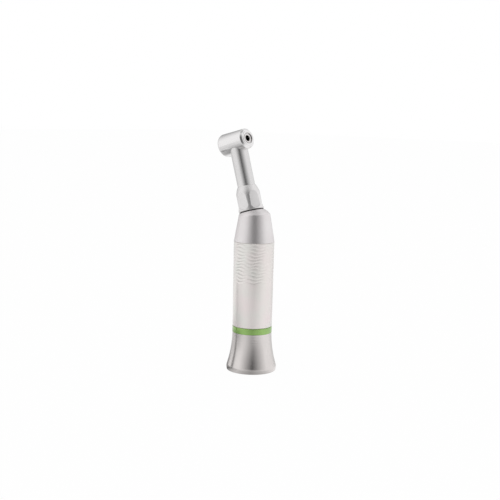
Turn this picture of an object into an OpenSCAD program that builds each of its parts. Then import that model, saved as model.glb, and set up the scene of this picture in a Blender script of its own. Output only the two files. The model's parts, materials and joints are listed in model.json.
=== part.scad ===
// Low-speed contra-angle dental handpiece with a speed-reducing gear set.
// Millimetres. The origin is the centre of the rear rim, +Z runs up the handle,
// and the neck leans towards -X so that the bur points towards +X.

/* [Handle] */
// Diameter of the flared rear rim
base_d = 20; // [19.4:0.1:22]
// Diameter of the handle at the colour ring
handle_d = 15.7; // [15.4:0.1:16.6]
// How much wider the handle is where the grip meets the front sleeve
grip_swell = 0.4; // [0.1:0.1:1]
// Height of the flared rear skirt
skirt_h = 15.5; // [12:0.1:18]
// Height of the upright band at the rear rim
rim_h = 1.8; // [1.4:0.1:3]
// Rounding of the rear rim's lower edge
rim_round = 0.5; // [0.2:0.1:1]
// Height of the colour ring
ring_h = 2.4; // [1.5:0.1:4]
// How far the colour ring stands proud of the handle
ring_proud = 0.06; // [0:0.02:0.3]
// Height of the grip sleeve
grip_h = 33.9; // [31:0.1:40]
// Edge chamfer of the grip sleeve
grip_edge = 0.25; // [0.1:0.05:0.5]
// Wall of the handle round the blocks stacked inside it
handle_wall = 0.85; // [0.6:0.05:1.05]

/* [Motor socket] */
// Bore that takes the motor's nose
socket_bore_d = 11; // [10:0.1:12]
// Depth of that bore
socket_depth = 22; // [19:0.1:23]
// Lead-in chamfer at the bore's mouth
mouth_chamfer = 0.4; // [0.2:0.1:0.5]
// How far the socket's rear flange stands out from the socket
flange_step = 0.7; // [0.4:0.1:1]
// Height of the socket's rear flange
flange_h = 2.4; // [1.5:0.1:4]
// Height of the snap groove above the mouth
groove_z = 6; // [4:0.1:10]
// Width of the snap groove
groove_w = 1.4; // [0.8:0.1:2]
// Depth of the snap groove
groove_depth = 0.35; // [0.2:0.05:0.6]
// Bore of the chamber above the socket, round the drive dog
chamber_d = 7.2; // [7:0.1:7.6]

/* [Drive dog] */
// Outer diameter of the drive dog
dog_d = 5.2; // [5:0.1:5.8]
// Length of the drive dog with its claws
dog_len = 2.6; // [2.4:0.1:3]
// Length of the dog's two claws
claw_len = 1.2; // [0.8:0.1:1.4]
// Inner diameter of the ring on which the claws stand
claw_bore_d = 4; // [3.8:0.1:4.2]
// Thickness of the web on which the dog slides
dog_web = 0.4; // [0.3:0.05:0.6]
// Sprung travel of the dog
dog_travel = 1.1; // [0.6:0.1:1.2]
// Rest distance from the socket's shoulder to the claws
dog_inset = 0.4; // [0.2:0.1:0.8]
// Width over the two flats that drive the dog
dog_flats = 2.2; // [1.8:0.1:2.5]
// Mean diameter of the dog's spring
dog_spring_d = 3.9; // [3.7:0.05:4.1]
// Wire of the dog's spring
dog_wire_d = 0.32; // [0.2:0.02:0.36]

/* [Gear set] */
// Module of the planetary gears
gear_module = 0.32; // [0.3:0.01:0.34]
// Face width of the planet gears
planet_w = 4; // [3:0.1:5]
// Thickness of the carrier's front plate
plate_t = 0.5; // [0.4:0.1:0.8]
// Thickness of the carrier disc
carrier_t = 1.6; // [1.2:0.1:2]
// Diameter of the carrier disc
carrier_d = 10.4; // [10:0.1:10.6]
// Planet pin diameter
pin_d = 1.34; // [1:0.02:1.6]
// Wall that closes each bearing block
block_web = 1.5; // [1:0.1:2]

/* [Shafts] */
// Input shaft diameter
input_shaft_d = 3; // [2.8:0.1:3.2]
// Diameter of the input shaft inside the sun gear
sun_seat_d = 2; // [1.6:0.1:2.4]
// Diameter of the collar under the input bearing
shaft_collar_d = 4.4; // [4:0.1:4.6]
// Height of that collar
shaft_collar_h = 0.7; // [0.5:0.1:0.9]
// Output shaft diameter
output_shaft_d = 4; // [3.8:0.1:4.2]
// Diameter of the output shaft inside the bend gear
output_end_d = 3; // [2.6:0.1:3.2]
// Diameter of the shoulder below the output bearing
output_shoulder_d = 5.4; // [5:0.1:5.6]
// Height of the nut on the output shaft
shaft_nut_h = 1; // [0.6:0.1:1.4]
// Neck shaft diameter
neck_shaft_d = 2.5; // [2.4:0.1:2.6]
// Diameter of the neck shaft inside its pinion
pinion_seat_d = 1.7; // [1.4:0.1:1.9]

/* [Bend gears] */
// Tip diameter of the two crown gears at the bend
crown_d = 6.6; // [6.4:0.1:6.7]
// Teeth on each crown gear
crown_teeth = 12; // [12:4:16]
// Face width of the crown teeth
crown_face = 1; // [0.8:0.1:1.1]
// Height of a crown tooth above its pitch cone
crown_addendum = 0.4; // [0.3:0.02:0.46]
// Depth of a crown tooth below its pitch cone
crown_dedendum = 0.52; // [0.5:0.02:0.6]
// Length of a crown gear's hub
crown_hub_len = 4; // [3:0.1:4.4]
// Diameter of a crown gear's hub
crown_hub_d = 5; // [4.6:0.1:5.4]

/* [Front sleeve] */
// Height from the grip's top to the bend in the axis
bend_rise = 6.4; // [5.6:0.1:7]
// Lean of the neck from the handle's axis
neck_angle = 17.3; // [14:0.1:19]
// Diameter that the front sleeve's cone reaches
cone_top_d = 12.8; // [12.4:0.1:13.6]
// Height over which the cone reaches that diameter
cone_h = 9.6; // [9:0.1:11]
// Distance along the neck from the bend to the sleeve's slanted top
seam_s = 5.4; // [5.2:0.1:6]
// Diameter of the sleeve's slanted top
seam_d = 10.5; // [10.2:0.1:10.8]
// Slope of the shoulder round the slanted top
shoulder_angle = 44; // [38:1:48]
// Clearance bore round the bend gears
bay_d = 7.1; // [7:0.05:7.3]
// Diameter of the threaded spigot under the collar
spigot_d = 8.2; // [8.1:0.1:8.4]
// Length of the threaded spigot
spigot_h = 3.4; // [2.6:0.1:4]

/* [Collar] */
// Height of the dark seal in the seam
seal_h = 0.45; // [0.3:0.05:0.7]
// Outer diameter of that seal
seal_d = 9.7; // [9.2:0.1:10]
// Height of the collar along the neck
collar_h = 9.9; // [9.4:0.1:11]
// Diameter at the collar's foot
collar_foot_d = 10.2; // [10.1:0.1:10.8]
// Diameter where the collar's shoulder starts
collar_belly_d = 9.9; // [9.8:0.1:10.1]
// Diameter of the collar's top edge
collar_top_d = 7.5; // [7.4:0.1:7.9]
// Height of the collar's rounded shoulder
collar_shoulder_h = 4.5; // [3.5:0.1:5]
// Chamfer at the collar's foot
collar_edge = 0.25; // [0.1:0.05:0.4]
// Distance across the collar's flats
collar_flats = 9.3; // [9.1:0.02:9.7]
// Number of flats round the collar
flat_count = 6; // [4:2:8]
// Height of the flats' round lower ends above the collar's foot
flat_rise = 0.5; // [0.4:0.1:1.5]
// Turn at which the screwed-down collar's flats come to rest
flat_turn = 7.5; // [0:0.5:15]
// Width of the cutter that makes a flat
flat_cutter_d = 4.4; // [4:0.1:5]

/* [Neck] */
// Outer diameter of the neck
neck_d = 7; // [6.9:0.1:7.2]
// Bore of the neck
neck_bore_d = 5.6; // [5.56:0.02:5.8]
// Outer diameter of the bearing housing at the neck's foot
housing_d = 8.1; // [7.8:0.1:8.2]
// Wall above the bearing in that housing
housing_roof = 1; // [0.6:0.1:1.4]
// Height of the nut that holds the neck bearing
neck_nut_h = 0.8; // [0.6:0.1:1]
// Outer diameter of that nut
neck_nut_d = 6.8; // [6.6:0.1:7]
// Length of the bush at the neck's upper end
bush_len = 4; // [2:0.1:6]
// Distance from the bend to the head's axis
head_reach = 33.9; // [32:0.1:37]
// Depth to which the neck stays below the head's axis
neck_top_drop = 1.6; // [1.2:0.1:2]

/* [Head] */
// Outer diameter of the head at its back
head_d = 9.3; // [9.1:0.1:9.8]
// Outer diameter of the head where its nose starts
nose_d = 8.1; // [8:0.1:8.6]
// Bore that holds the head bearings
head_bore_d = 6.3; // [6.28:0.02:6.5]
// Distance from the neck's axis to the bur end
head_front = 6.1; // [5.8:0.1:6.6]
// Thickness of the lip at the bur end
lip_t = 0.8; // [0.5:0.1:0.9]
// Diameter of the mouth at the bur end
mouth_d = 4.4; // [4.2:0.1:4.8]
// Diameter of the bright lip round the mouth
lip_d = 6; // [5.6:0.1:6]
// Rounding of the nose behind the lip
nose_round = 1; // [0.7:0.1:1]
// Rounding of the lip's edge
lip_round = 0.25; // [0.1:0.05:0.3]
// Thickness of the dark shield in the mouth
shield_t = 0.2; // [0.15:0.05:0.4]
// Bore of that shield
shield_bore_d = 3.9; // [3.8:0.1:4.2]
// Height of the cap's threaded skirt inside the head
cap_thread_h = 0.7; // [0.6:0.05:1]
// Outer diameter of that skirt
cap_thread_d = 6.96; // [6.9:0.02:7.2]

/* [Back cap and button] */
// Outer diameter of the back cap
cap_d = 9.1; // [8.7:0.1:9.3]
// Height of the back cap
cap_h = 1; // [1:0.1:1.6]
// Rounding of the back cap's edge
cap_round = 0.9; // [0.4:0.1:0.9]
// Bore of the back cap
cap_bore_d = 5.9; // [5.8:0.1:6.1]
// Thickness of the lip that keeps the button in
cap_lip_t = 0.5; // [0.4:0.1:0.7]
// Diameter of the push button's dome
button_d = 4.9; // [4.6:0.1:5.1]
// Thickness of the push button's flange
button_flange_t = 0.3; // [0.2:0.05:0.4]
// How far the button stands out of the cap
button_proud = 0.7; // [0.5:0.1:1.2]
// Crown of the button's dome
button_crown = 0.4; // [0.2:0.05:0.5]
// Wall of the hollow button
button_wall = 0.35; // [0.25:0.05:0.45]
// Travel of the push button
button_travel = 0.4; // [0.2:0.05:0.4]
// Diameter of the post that pushes the plunger
post_d = 1.6; // [1.4:0.1:1.7]
// Thickness of the washer under the button's spring
seat_t = 0.25; // [0.15:0.05:0.3]
// Mean diameter of the button's spring
button_spring_d = 3; // [2.6:0.1:3.2]
// Wire of the button's spring
button_wire_d = 0.22; // [0.16:0.02:0.26]

/* [Bur spindle] */
// Outer diameter of the spindle
spindle_d = 3.18; // [3.1:0.02:3.24]
// Bore that takes the bur's shank
shank_bore_d = 2.37; // [2.36:0.01:2.4]
// Diameter of the spindle's nose in the mouth
spindle_nose_d = 3.5; // [3.4:0.1:3.6]
// Distance from the spindle's nose back to the lip's face
spindle_inset = 0.35; // [0.2:0.05:0.6]
// Lead-in chamfer of the shank bore
shank_chamfer = 0.15; // [0.1:0.05:0.2]
// Length of the full round shank bore behind its chamfer
shank_grip = 7.9; // [7:0.1:8.2]
// Width of the groove for the shank's clip
clip_groove_w = 0.45; // [0.35:0.05:0.6]
// Diameter of that groove
clip_groove_d = 2.78; // [2.7:0.02:2.84]
// Bore of the plunger's hole behind the shank
plunger_bore_d = 2; // [1.9:0.1:2.1]
// Length of the plunger's guided end
plunger_len = 1.1; // [0.9:0.1:1.2]
// Diameter of the plunger's slim nose, which reaches the clip
plunger_nose_d = 1.4; // [1.2:0.1:1.6]

/* [Head gears] */
// Pitch diameter of the pinion and the bur gear at their large ends
bevel_d = 5; // [4.9:0.05:5.05]
// Teeth on the pinion and on the bur gear
bevel_teeth = 10; // [10:2:12]
// Face width of the bevel teeth
bevel_face = 0.7; // [0.5:0.05:0.75]
// Height of a bevel tooth above its pitch cone
bevel_addendum = 0.36; // [0.3:0.02:0.4]
// Depth of a bevel tooth below its pitch cone
bevel_dedendum = 0.48; // [0.46:0.02:0.54]
// Thickness of a bevel gear behind its teeth
bevel_back = 0.58; // [0.4:0.02:0.6]

/* [Bearings] */
// Outer diameter of the input bearing
input_brg_d = 8; // [7.8:0.1:8.2]
// Width of the input bearing
input_brg_w = 3; // [2.6:0.1:3.4]
// Ball diameter in the input bearing
input_ball_d = 1.4; // [1.2:0.05:1.5]
// Outer diameter of the output bearing
output_brg_d = 9; // [8.8:0.1:9.4]
// Width of the output bearing
output_brg_w = 4; // [3.4:0.1:4.4]
// Ball diameter in the output bearing
output_ball_d = 1.5; // [1.3:0.05:1.6]
// Outer diameter of the neck bearing
neck_brg_d = 6; // [5.9:0.05:6.2]
// Width of the neck bearing
neck_brg_w = 2.5; // [2:0.1:2.8]
// Ball diameter in the neck bearing
neck_ball_d = 1; // [0.8:0.05:1.05]
// Width of the two head bearings
head_brg_w = 1.9; // [1.7:0.05:1.95]
// Ball diameter in the two head bearings
head_ball_d = 0.84; // [0.7:0.02:0.88]
// Balls in each bearing
ball_count = 8; // [7:1:8]

/* [Clearances] */
// Radial gap between pieces that are fixed together
fit_gap = 0.02; // [0.01:0.01:0.03]
// Radial gap of a running fit
run_gap = 0.04; // [0.03:0.01:0.06]
// Radial gap of a sliding piece
slide_gap = 0.05; // [0.03:0.01:0.06]
// Axial gap beside a turning piece
side_gap = 0.2; // [0.15:0.05:0.25]
// Play of a ball in its grooves
ball_play = 0.04; // [0.03:0.01:0.05]
// Backlash of the planetary gears at their pitch circles
backlash = 0.06; // [0.04:0.01:0.08]
// Backlash of the bevel and crown gears at their large ends
bevel_backlash = 0.12; // [0.1:0.01:0.16]

/* [Hidden] */
$fn = 64;

// Handle heights and the diameter at the top of the grip
ring_z = skirt_h;
grip_z = ring_z + ring_h;
grip_top_z = grip_z + grip_h;
grip_top_d = handle_d + grip_swell;
bend_z = grip_top_z + bend_rise;

// Stack of blocks inside the handle, from the socket upwards
chamber_h = dog_inset + dog_len + dog_travel + side_gap + shaft_collar_h;
socket_top_z = socket_depth + chamber_h;
input_brg_z = socket_top_z;
ring_gear_z = input_brg_z + input_brg_w + block_web;
plate_z = ring_gear_z + side_gap;
planet_z = plate_z + plate_t + side_gap;
carrier_z = planet_z + planet_w + side_gap;
carrier_top_z = carrier_z + carrier_t;
output_block_z = carrier_top_z + side_gap;
output_brg_z = output_block_z + block_web;
stack_top_z = output_brg_z + output_brg_w;
core_r = handle_d / 2 - handle_wall;
flange_d = 2 * (core_r + flange_step);

// Drive dog at rest
dog_z = socket_depth + dog_inset;
dog_web_z = dog_z + claw_len;
shaft_foot_z = dog_z + claw_len / 2;
dog_clip_t = 0.3;
clip_neck_d = dog_flats - 2 * side_gap;
dog_clip_z = dog_web_z - dog_clip_t - fit_gap;
shaft_collar_z = input_brg_z - shaft_collar_h;

// Planetary gears: sun and ring teeth together divide by three, so three planets fit evenly
sun_teeth = 12;
planet_teeth = 12;
ring_teeth = sun_teeth + 2 * planet_teeth;
planet_count = 3;
planet_orbit_r = gear_module * (sun_teeth + planet_teeth) / 2;
pressure_angle = 25;
tooth_addendum = 0.8 * gear_module;
tooth_dedendum = 1.05 * gear_module;
flank_steps = 4;

// Bend gears: two nearly flat crowns that face each other across the bend
crown_cone = 90 - neck_angle / 2;
bevel_cone = 45;
bevel_pressure = 24;
tooth_root_depth = 0.15;
crown_face_z = bend_z - crown_d / 2 / tan(crown_cone);
output_end_z = crown_face_z - crown_dedendum - crown_hub_len;
neck_shaft_s = bend_z - crown_face_z + crown_dedendum;

// Neck stations, measured along the neck from the bend
collar_s = seam_s + seal_h;
housing_s = seam_s + spigot_h;
neck_brg_s = housing_s + neck_nut_h;
housing_top_s = neck_brg_s + neck_brg_w + housing_roof;
neck_top_s = head_reach - neck_top_drop;
bevel_pitch = bevel_d / 2;
bevel_back_h = bevel_pitch + bevel_dedendum * sin(bevel_cone) + bevel_back;
pinion_back_s = head_reach - bevel_back_h;
bush_s = pinion_back_s - side_gap - bush_len;

// Head stations, measured from the neck's axis towards the bur
lip_h = head_front - lip_t;
front_brg_h = lip_h - shield_t - head_brg_w;
rear_brg_h = -bevel_back_h - head_brg_w;
head_back = rear_brg_h - cap_thread_h;
cap_back_h = head_back - cap_h;
button_lip_h = cap_back_h + cap_lip_t;
button_front_h = button_lip_h + button_flange_t;
stop_gap = 0.05;
seat_h = button_front_h + button_travel + stop_gap;
button_floor_h = button_lip_h - cap_lip_t - button_proud + button_crown + button_wall;
spindle_nose_h = head_front - spindle_inset;
spindle_tail_h = seat_h + seat_t + side_gap / 2;
shank_end_h = spindle_nose_h - shank_chamfer - shank_grip;
groove_back_h = shank_end_h - clip_groove_w;
plunger_gap = 0.05;
plunger_tail_h = spindle_tail_h - plunger_gap;
plunger_front_h = plunger_tail_h + plunger_len;
plunger_stop_h = plunger_front_h + button_travel + side_gap;
post_end_h = plunger_tail_h - plunger_gap;
head_brg_d = head_bore_d - 2 * fit_gap;

steel = [0.72, 0.72, 0.72];
bright = [0.85, 0.85, 0.85];
pearl = [0.92, 0.90, 0.89];
green = [0.45, 0.70, 0.22];
black = [0.08, 0.08, 0.08];
bronze = [0.72, 0.52, 0.30];
gear_grey = [0.55, 0.55, 0.57];
cage_brown = [0.45, 0.33, 0.18];

// Placing along the three axes

module on_handle(z) {
  translate([0, 0, z]) children();
}

module on_neck(s) {
  translate([0, 0, bend_z]) rotate([0, -neck_angle, 0]) translate([0, 0, s]) children();
}

module on_head(h) {
  on_neck(head_reach) rotate([0, 90, 0]) translate([0, 0, h]) children();
}

// Round shapes

function arc_points(centre, radius, from, to, steps = 10) = [
  for (i = [0 : steps])
    let (a = from + (to - from) * i / steps)
    [centre[0] + radius * cos(a), centre[1] + radius * sin(a)]
];

module tube(outer_d, inner_d, height) {
  rotate_extrude()
    translate([inner_d / 2, 0])
      square([(outer_d - inner_d) / 2, height]);
}

// Ball bearings, standing on their lower faces. The open share is the part of a bearing's
// section that is left free between its two rings.

open_share = 0.36;

function race_gap(outer_d, bore_d) = open_share * (outer_d - bore_d) / 2;
function pitch_d(outer_d, bore_d) = (outer_d + bore_d) / 2;

module ball_groove(outer_d, bore_d, width, ball_d) {
  translate([pitch_d(outer_d, bore_d) / 2, width / 2])
    circle(d = ball_d + 2 * ball_play);
}

module bearing_outer(outer_d, bore_d, width, ball_d) {
  land_r = (pitch_d(outer_d, bore_d) + race_gap(outer_d, bore_d)) / 2;
  rotate_extrude() difference() {
    translate([land_r, 0]) square([outer_d / 2 - land_r, width]);
    ball_groove(outer_d, bore_d, width, ball_d);
  }
}

module bearing_inner(outer_d, bore_d, width, ball_d) {
  land_r = (pitch_d(outer_d, bore_d) - race_gap(outer_d, bore_d)) / 2;
  rotate_extrude() difference() {
    translate([bore_d / 2, 0]) square([land_r - bore_d / 2, width]);
    ball_groove(outer_d, bore_d, width, ball_d);
  }
}

module at_each_ball(outer_d, bore_d, width) {
  for (i = [0 : ball_count - 1])
    rotate([0, 0, 360 * i / ball_count])
      translate([pitch_d(outer_d, bore_d) / 2, 0, width / 2])
        children();
}

module bearing_cage(outer_d, bore_d, width, ball_d) {
  cage_t = race_gap(outer_d, bore_d) / 2;
  cage_w = width - side_gap;
  color(bright) at_each_ball(outer_d, bore_d, width) sphere(d = ball_d);
  color(cage_brown) difference() {
    on_handle(side_gap / 2)
      tube(pitch_d(outer_d, bore_d) + cage_t, pitch_d(outer_d, bore_d) - cage_t, cage_w);
    at_each_ball(outer_d, bore_d, width)
      rotate([0, 90, 0])
        cylinder(d = ball_d + 2 * ball_play, h = ball_d, center = true);
  }
}

// Involute spur teeth

function involute_turn(base_r, r) =
  let (t = sqrt(max(0, pow(r / base_r, 2) - 1)))
  t * 180 / PI - atan(t);

function tooth_half_angle(teeth, r, thinning) =
  let (pitch_r = gear_module * teeth / 2, base_r = pitch_r * cos(pressure_angle))
  90 / teeth - thinning / pitch_r * 90 / PI
  + involute_turn(base_r, pitch_r) - involute_turn(base_r, max(r, base_r));

function flank(teeth, root_r, tip_r, thinning) = [
  for (i = [0 : flank_steps])
    let (r = root_r + (tip_r - root_r) * i / flank_steps)
    [r, tooth_half_angle(teeth, r, thinning)]
];

function gear_outline(teeth, root_r, tip_r, thinning) = [
  for (k = [0 : teeth - 1])
    let (centre = 360 * k / teeth, side = flank(teeth, root_r, tip_r, thinning))
    each concat(
      [for (p = side) p[0] * [cos(centre - p[1]), sin(centre - p[1])]],
      [for (i = [flank_steps : -1 : 0]) side[i][0] * [cos(centre + side[i][1]), sin(centre + side[i][1])]]
    )
];

module spur_gear(teeth, width, bore_d) {
  pitch_r = gear_module * teeth / 2;
  difference() {
    linear_extrude(width)
      polygon(gear_outline(teeth, pitch_r - tooth_dedendum, pitch_r + tooth_addendum, backlash / 2));
    cylinder(d = bore_d, h = 3 * width, center = true);
  }
}

// Bevel teeth: the cone's tip is at the origin and the gear hangs below it

function cone_point(reach, cone, rise) = [
  reach * sin(cone) + rise * cos(cone),
  -reach * cos(cone) + rise * sin(cone)
];

function tooth_section(reach, big, cone, half, addendum, dedendum) =
  let (
    k = reach / big,
    foot_depth = dedendum + tooth_root_depth,
    tip = cone_point(reach, cone, addendum * k),
    foot = cone_point(reach, cone, -foot_depth * k),
    tip_w = (half - addendum * tan(bevel_pressure)) * k,
    foot_w = (half + dedendum * tan(bevel_pressure)) * k
  )
  [[tip[0], -tip_w, tip[1]], [tip[0], tip_w, tip[1]],
   [foot[0], foot_w, foot[1]], [foot[0], -foot_w, foot[1]]];

module bevel_gear(teeth, pitch_r, cone, face, addendum, dedendum, bore_d, hub_d, hub_len) {
  big = pitch_r / sin(cone);
  small = big - face;
  half = PI * pitch_r / teeth / 2 - bevel_backlash / 2;
  outer_root = cone_point(big, cone, -dedendum);
  inner_root = cone_point(small, cone, -dedendum * small / big);
  rotate([0, 0, 180 / teeth]) rotate_extrude()
    polygon([
      [bore_d / 2, inner_root[1]],
      inner_root,
      outer_root,
      [hub_d / 2, outer_root[1] - bevel_back / 2],
      [hub_d / 2, outer_root[1] - hub_len],
      [bore_d / 2, outer_root[1] - hub_len]
    ]);
  points = concat(
    tooth_section(small, big, cone, half, addendum, dedendum),
    tooth_section(big, big, cone, half, addendum, dedendum)
  );
  faces = [[3, 2, 1, 0], [4, 5, 6, 7], [0, 1, 5, 4], [1, 2, 6, 5], [2, 3, 7, 6], [3, 0, 4, 7]];
  for (i = [0 : teeth - 1])
    rotate([0, 0, 360 * i / teeth])
      polyhedron(points, faces);
}

module crown_gear(bore_d) {
  bevel_gear(crown_teeth, crown_d / 2, crown_cone, crown_face, crown_addendum, crown_dedendum,
             bore_d, crown_hub_d, crown_hub_len);
}

module head_bevel_gear(bore_d) {
  hub_d = bevel_d - 2 * bevel_dedendum * cos(bevel_cone);
  bevel_gear(bevel_teeth, bevel_pitch, bevel_cone, bevel_face, bevel_addendum, bevel_dedendum,
             bore_d, hub_d, bevel_back);
}

// Wire springs, standing on z = 0

module coil_spring(mean_d, wire_d, height, turns) {
  sides = 6;
  rings = 10 * turns;
  rise = height - wire_d;
  ring_points = [
    for (i = [0 : rings])
      let (a = 360 * turns * i / rings, z = wire_d / 2 + rise * i / rings)
      for (j = [0 : sides - 1])
        let (b = 360 * j / sides, r = mean_d / 2 + wire_d / 2 * cos(b))
        [r * cos(a), r * sin(a), z + wire_d / 2 * sin(b)]
  ];
  skin = [
    for (i = [0 : rings - 1])
      for (j = [0 : sides - 1])
        let (
          p = i * sides + j,
          q = i * sides + (j + 1) % sides
        )
        each [[p, q, p + sides], [q, q + sides, p + sides]]
  ];
  first_cap = [for (j = [1 : sides - 2]) [0, j + 1, j]];
  last = rings * sides;
  last_cap = [for (j = [1 : sides - 2]) [last, last + j, last + j + 1]];
  polyhedron(ring_points, concat(skin, first_cap, last_cap));
}

// Handle shells

module rear_skirt() {
  base_r = base_d / 2;
  handle_r = handle_d / 2;
  flare = base_r - handle_r;
  flare_h = skirt_h - rim_h;
  flare_r = (flare * flare + flare_h * flare_h) / (2 * flare);
  flare_turn = asin(flare_h / flare_r);
  rim_lean = 0.15;
  color(steel) difference() {
    rotate_extrude()
      polygon(concat(
        [[core_r + fit_gap, 0]],
        arc_points([base_r - rim_lean - rim_round, rim_round], rim_round, -90, 0, 6),
        arc_points([handle_r + flare_r, skirt_h], flare_r, 180 + flare_turn, 180, 16),
        [[core_r + fit_gap, skirt_h]]
      ));
    cylinder(d = flange_d + 2 * fit_gap, h = 2 * (flange_h + fit_gap), center = true);
  }
}

module coupling_socket() {
  bore_r = socket_bore_d / 2;
  groove_r = bore_r + groove_depth;
  color(steel) rotate_extrude()
    polygon([
      [bore_r + mouth_chamfer, 0],
      [flange_d / 2, 0],
      [flange_d / 2, flange_h],
      [core_r, flange_h],
      [core_r, socket_top_z],
      [chamber_d / 2, socket_top_z],
      [chamber_d / 2, socket_depth],
      [bore_r, socket_depth],
      [bore_r, groove_z + groove_w],
      [groove_r, groove_z + groove_w],
      [groove_r, groove_z],
      [bore_r, groove_z],
      [bore_r, mouth_chamfer]
    ]);
}

module ratio_ring() {
  color(green) on_handle(ring_z)
    tube(handle_d + 2 * ring_proud, 2 * (core_r + fit_gap), ring_h);
}

module grip_sleeve() {
  bore_r = core_r + fit_gap;
  color(pearl) rotate_extrude()
    polygon([
      [bore_r, grip_z],
      [handle_d / 2 - grip_edge, grip_z],
      [handle_d / 2, grip_z + grip_edge],
      [grip_top_d / 2, grip_top_z - grip_edge],
      [grip_top_d / 2 - grip_edge, grip_top_z],
      [bore_r, grip_top_z]
    ]);
}

module input_bearing_block() {
  web_bore_d = input_shaft_d + 2 * side_gap;
  color(steel) on_handle(input_brg_z) rotate_extrude()
    polygon([
      [input_brg_d / 2 + fit_gap, 0],
      [core_r, 0],
      [core_r, input_brg_w + block_web],
      [web_bore_d / 2, input_brg_w + block_web],
      [web_bore_d / 2, input_brg_w],
      [input_brg_d / 2 + fit_gap, input_brg_w]
    ]);
}

module output_bearing_block() {
  web_bore_d = output_shoulder_d + 2 * side_gap;
  color(steel) on_handle(output_block_z) rotate_extrude()
    polygon([
      [web_bore_d / 2, 0],
      [core_r, 0],
      [core_r, block_web + output_brg_w],
      [output_brg_d / 2 + fit_gap, block_web + output_brg_w],
      [output_brg_d / 2 + fit_gap, block_web],
      [web_bore_d / 2, block_web]
    ]);
}

module ring_gear() {
  pitch_r = gear_module * ring_teeth / 2;
  height = output_block_z - ring_gear_z;
  color(gear_grey) on_handle(ring_gear_z) difference() {
    cylinder(r = core_r, h = height);
    translate([0, 0, -height]) rotate([0, 0, 180 / ring_teeth])
      linear_extrude(3 * height)
        polygon(gear_outline(ring_teeth, pitch_r - tooth_addendum, pitch_r + tooth_dedendum, -backlash / 2));
  }
}

module front_sleeve() {
  taper = (grip_top_d - cone_top_d) / 2 / cone_h;
  blank_h = bend_rise + seam_s + grip_top_d / 2;
  shoulder_drop = grip_top_d;
  shoulder_d = seam_d + 2 * shoulder_drop * tan(shoulder_angle);
  color(steel) difference() {
    union() {
      intersection() {
        on_handle(grip_top_z)
          cylinder(d1 = grip_top_d, d2 = grip_top_d - 2 * taper * blank_h, h = blank_h);
        on_neck(seam_s - shoulder_drop)
          cylinder(d1 = shoulder_d, d2 = seam_d, h = shoulder_drop);
      }
      on_handle(stack_top_z) cylinder(r = core_r, h = grip_top_z - stack_top_z);
      on_neck(0) cylinder(d = spigot_d, h = housing_s);
    }
    on_handle(stack_top_z - bay_d) cylinder(d = bay_d, h = bend_z - stack_top_z + bay_d);
    on_handle(bend_z) sphere(d = bay_d + 2 * fit_gap);
    on_neck(0) cylinder(d = bay_d, h = housing_s + bay_d);
  }
}

// Collar and neck

module collar_seal() {
  color(black) on_neck(seam_s) tube(seal_d, spigot_d + 2 * fit_gap, seal_h);
}

function collar_radius(s) =
  let (depth = collar_h - s)
  depth < collar_shoulder_h
    ? collar_top_d / 2 + (collar_belly_d - collar_top_d) / 2 * sin(90 * depth / collar_shoulder_h)
    : collar_belly_d / 2
      + (collar_foot_d - collar_belly_d) / 2 * (depth - collar_shoulder_h) / (collar_h - collar_shoulder_h);

module collar_flat() {
  foot = flat_rise + flat_cutter_d / 2;
  rotate([0, 90, 0]) translate([0, 0, collar_flats / 2]) linear_extrude(collar_foot_d) {
    translate([-foot, 0]) circle(d = flat_cutter_d);
    translate([-foot - collar_h, -flat_cutter_d / 2]) square([collar_h, flat_cutter_d]);
  }
}

module neck_collar() {
  shoulder_steps = 10;
  thread_d = spigot_d + 2 * fit_gap;
  roof = housing_top_s - collar_s + fit_gap;
  color(steel) on_neck(collar_s) difference() {
    rotate_extrude()
      polygon(concat(
        [
          [thread_d / 2, 0],
          [collar_foot_d / 2 - collar_edge, 0],
          [collar_radius(collar_edge), collar_edge]
        ],
        [
          for (i = [0 : shoulder_steps])
            let (s = collar_h - collar_shoulder_h * (1 - i / shoulder_steps))
            [collar_radius(s), s]
        ],
        [
          [neck_d / 2 + fit_gap, collar_h],
          [neck_d / 2 + fit_gap, roof],
          [thread_d / 2, roof]
        ]
      ));
    for (i = [0 : flat_count - 1])
      rotate([0, 0, 360 * (i + 0.5) / flat_count + flat_turn]) collar_flat();
  }
}

module neck_tube() {
  color(steel) difference() {
    on_neck(housing_s) rotate_extrude()
      polygon([
        [neck_nut_d / 2 + fit_gap, 0],
        [housing_d / 2, 0],
        [housing_d / 2, housing_top_s - housing_s],
        [neck_d / 2, housing_top_s - housing_s],
        [neck_d / 2, neck_top_s - housing_s],
        [neck_bore_d / 2, neck_top_s - housing_s],
        [neck_bore_d / 2, neck_nut_h + neck_brg_w],
        [neck_brg_d / 2 + fit_gap, neck_nut_h + neck_brg_w],
        [neck_brg_d / 2 + fit_gap, neck_nut_h],
        [neck_nut_d / 2 + fit_gap, neck_nut_h]
      ]);
    on_head(0) cylinder(d = head_bore_d + 2 * fit_gap, h = 2 * head_d, center = true);
  }
}

module neck_bearing_nut() {
  nut_bore_d = neck_brg_d - 2 * race_gap(neck_brg_d, neck_shaft_d);
  color(steel) on_neck(housing_s) tube(neck_nut_d, nut_bore_d, neck_nut_h);
}

module neck_bush() {
  color(bronze) on_neck(bush_s)
    tube(neck_bore_d - 2 * fit_gap, neck_shaft_d + 2 * run_gap, bush_len);
}

// Head shells

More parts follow.
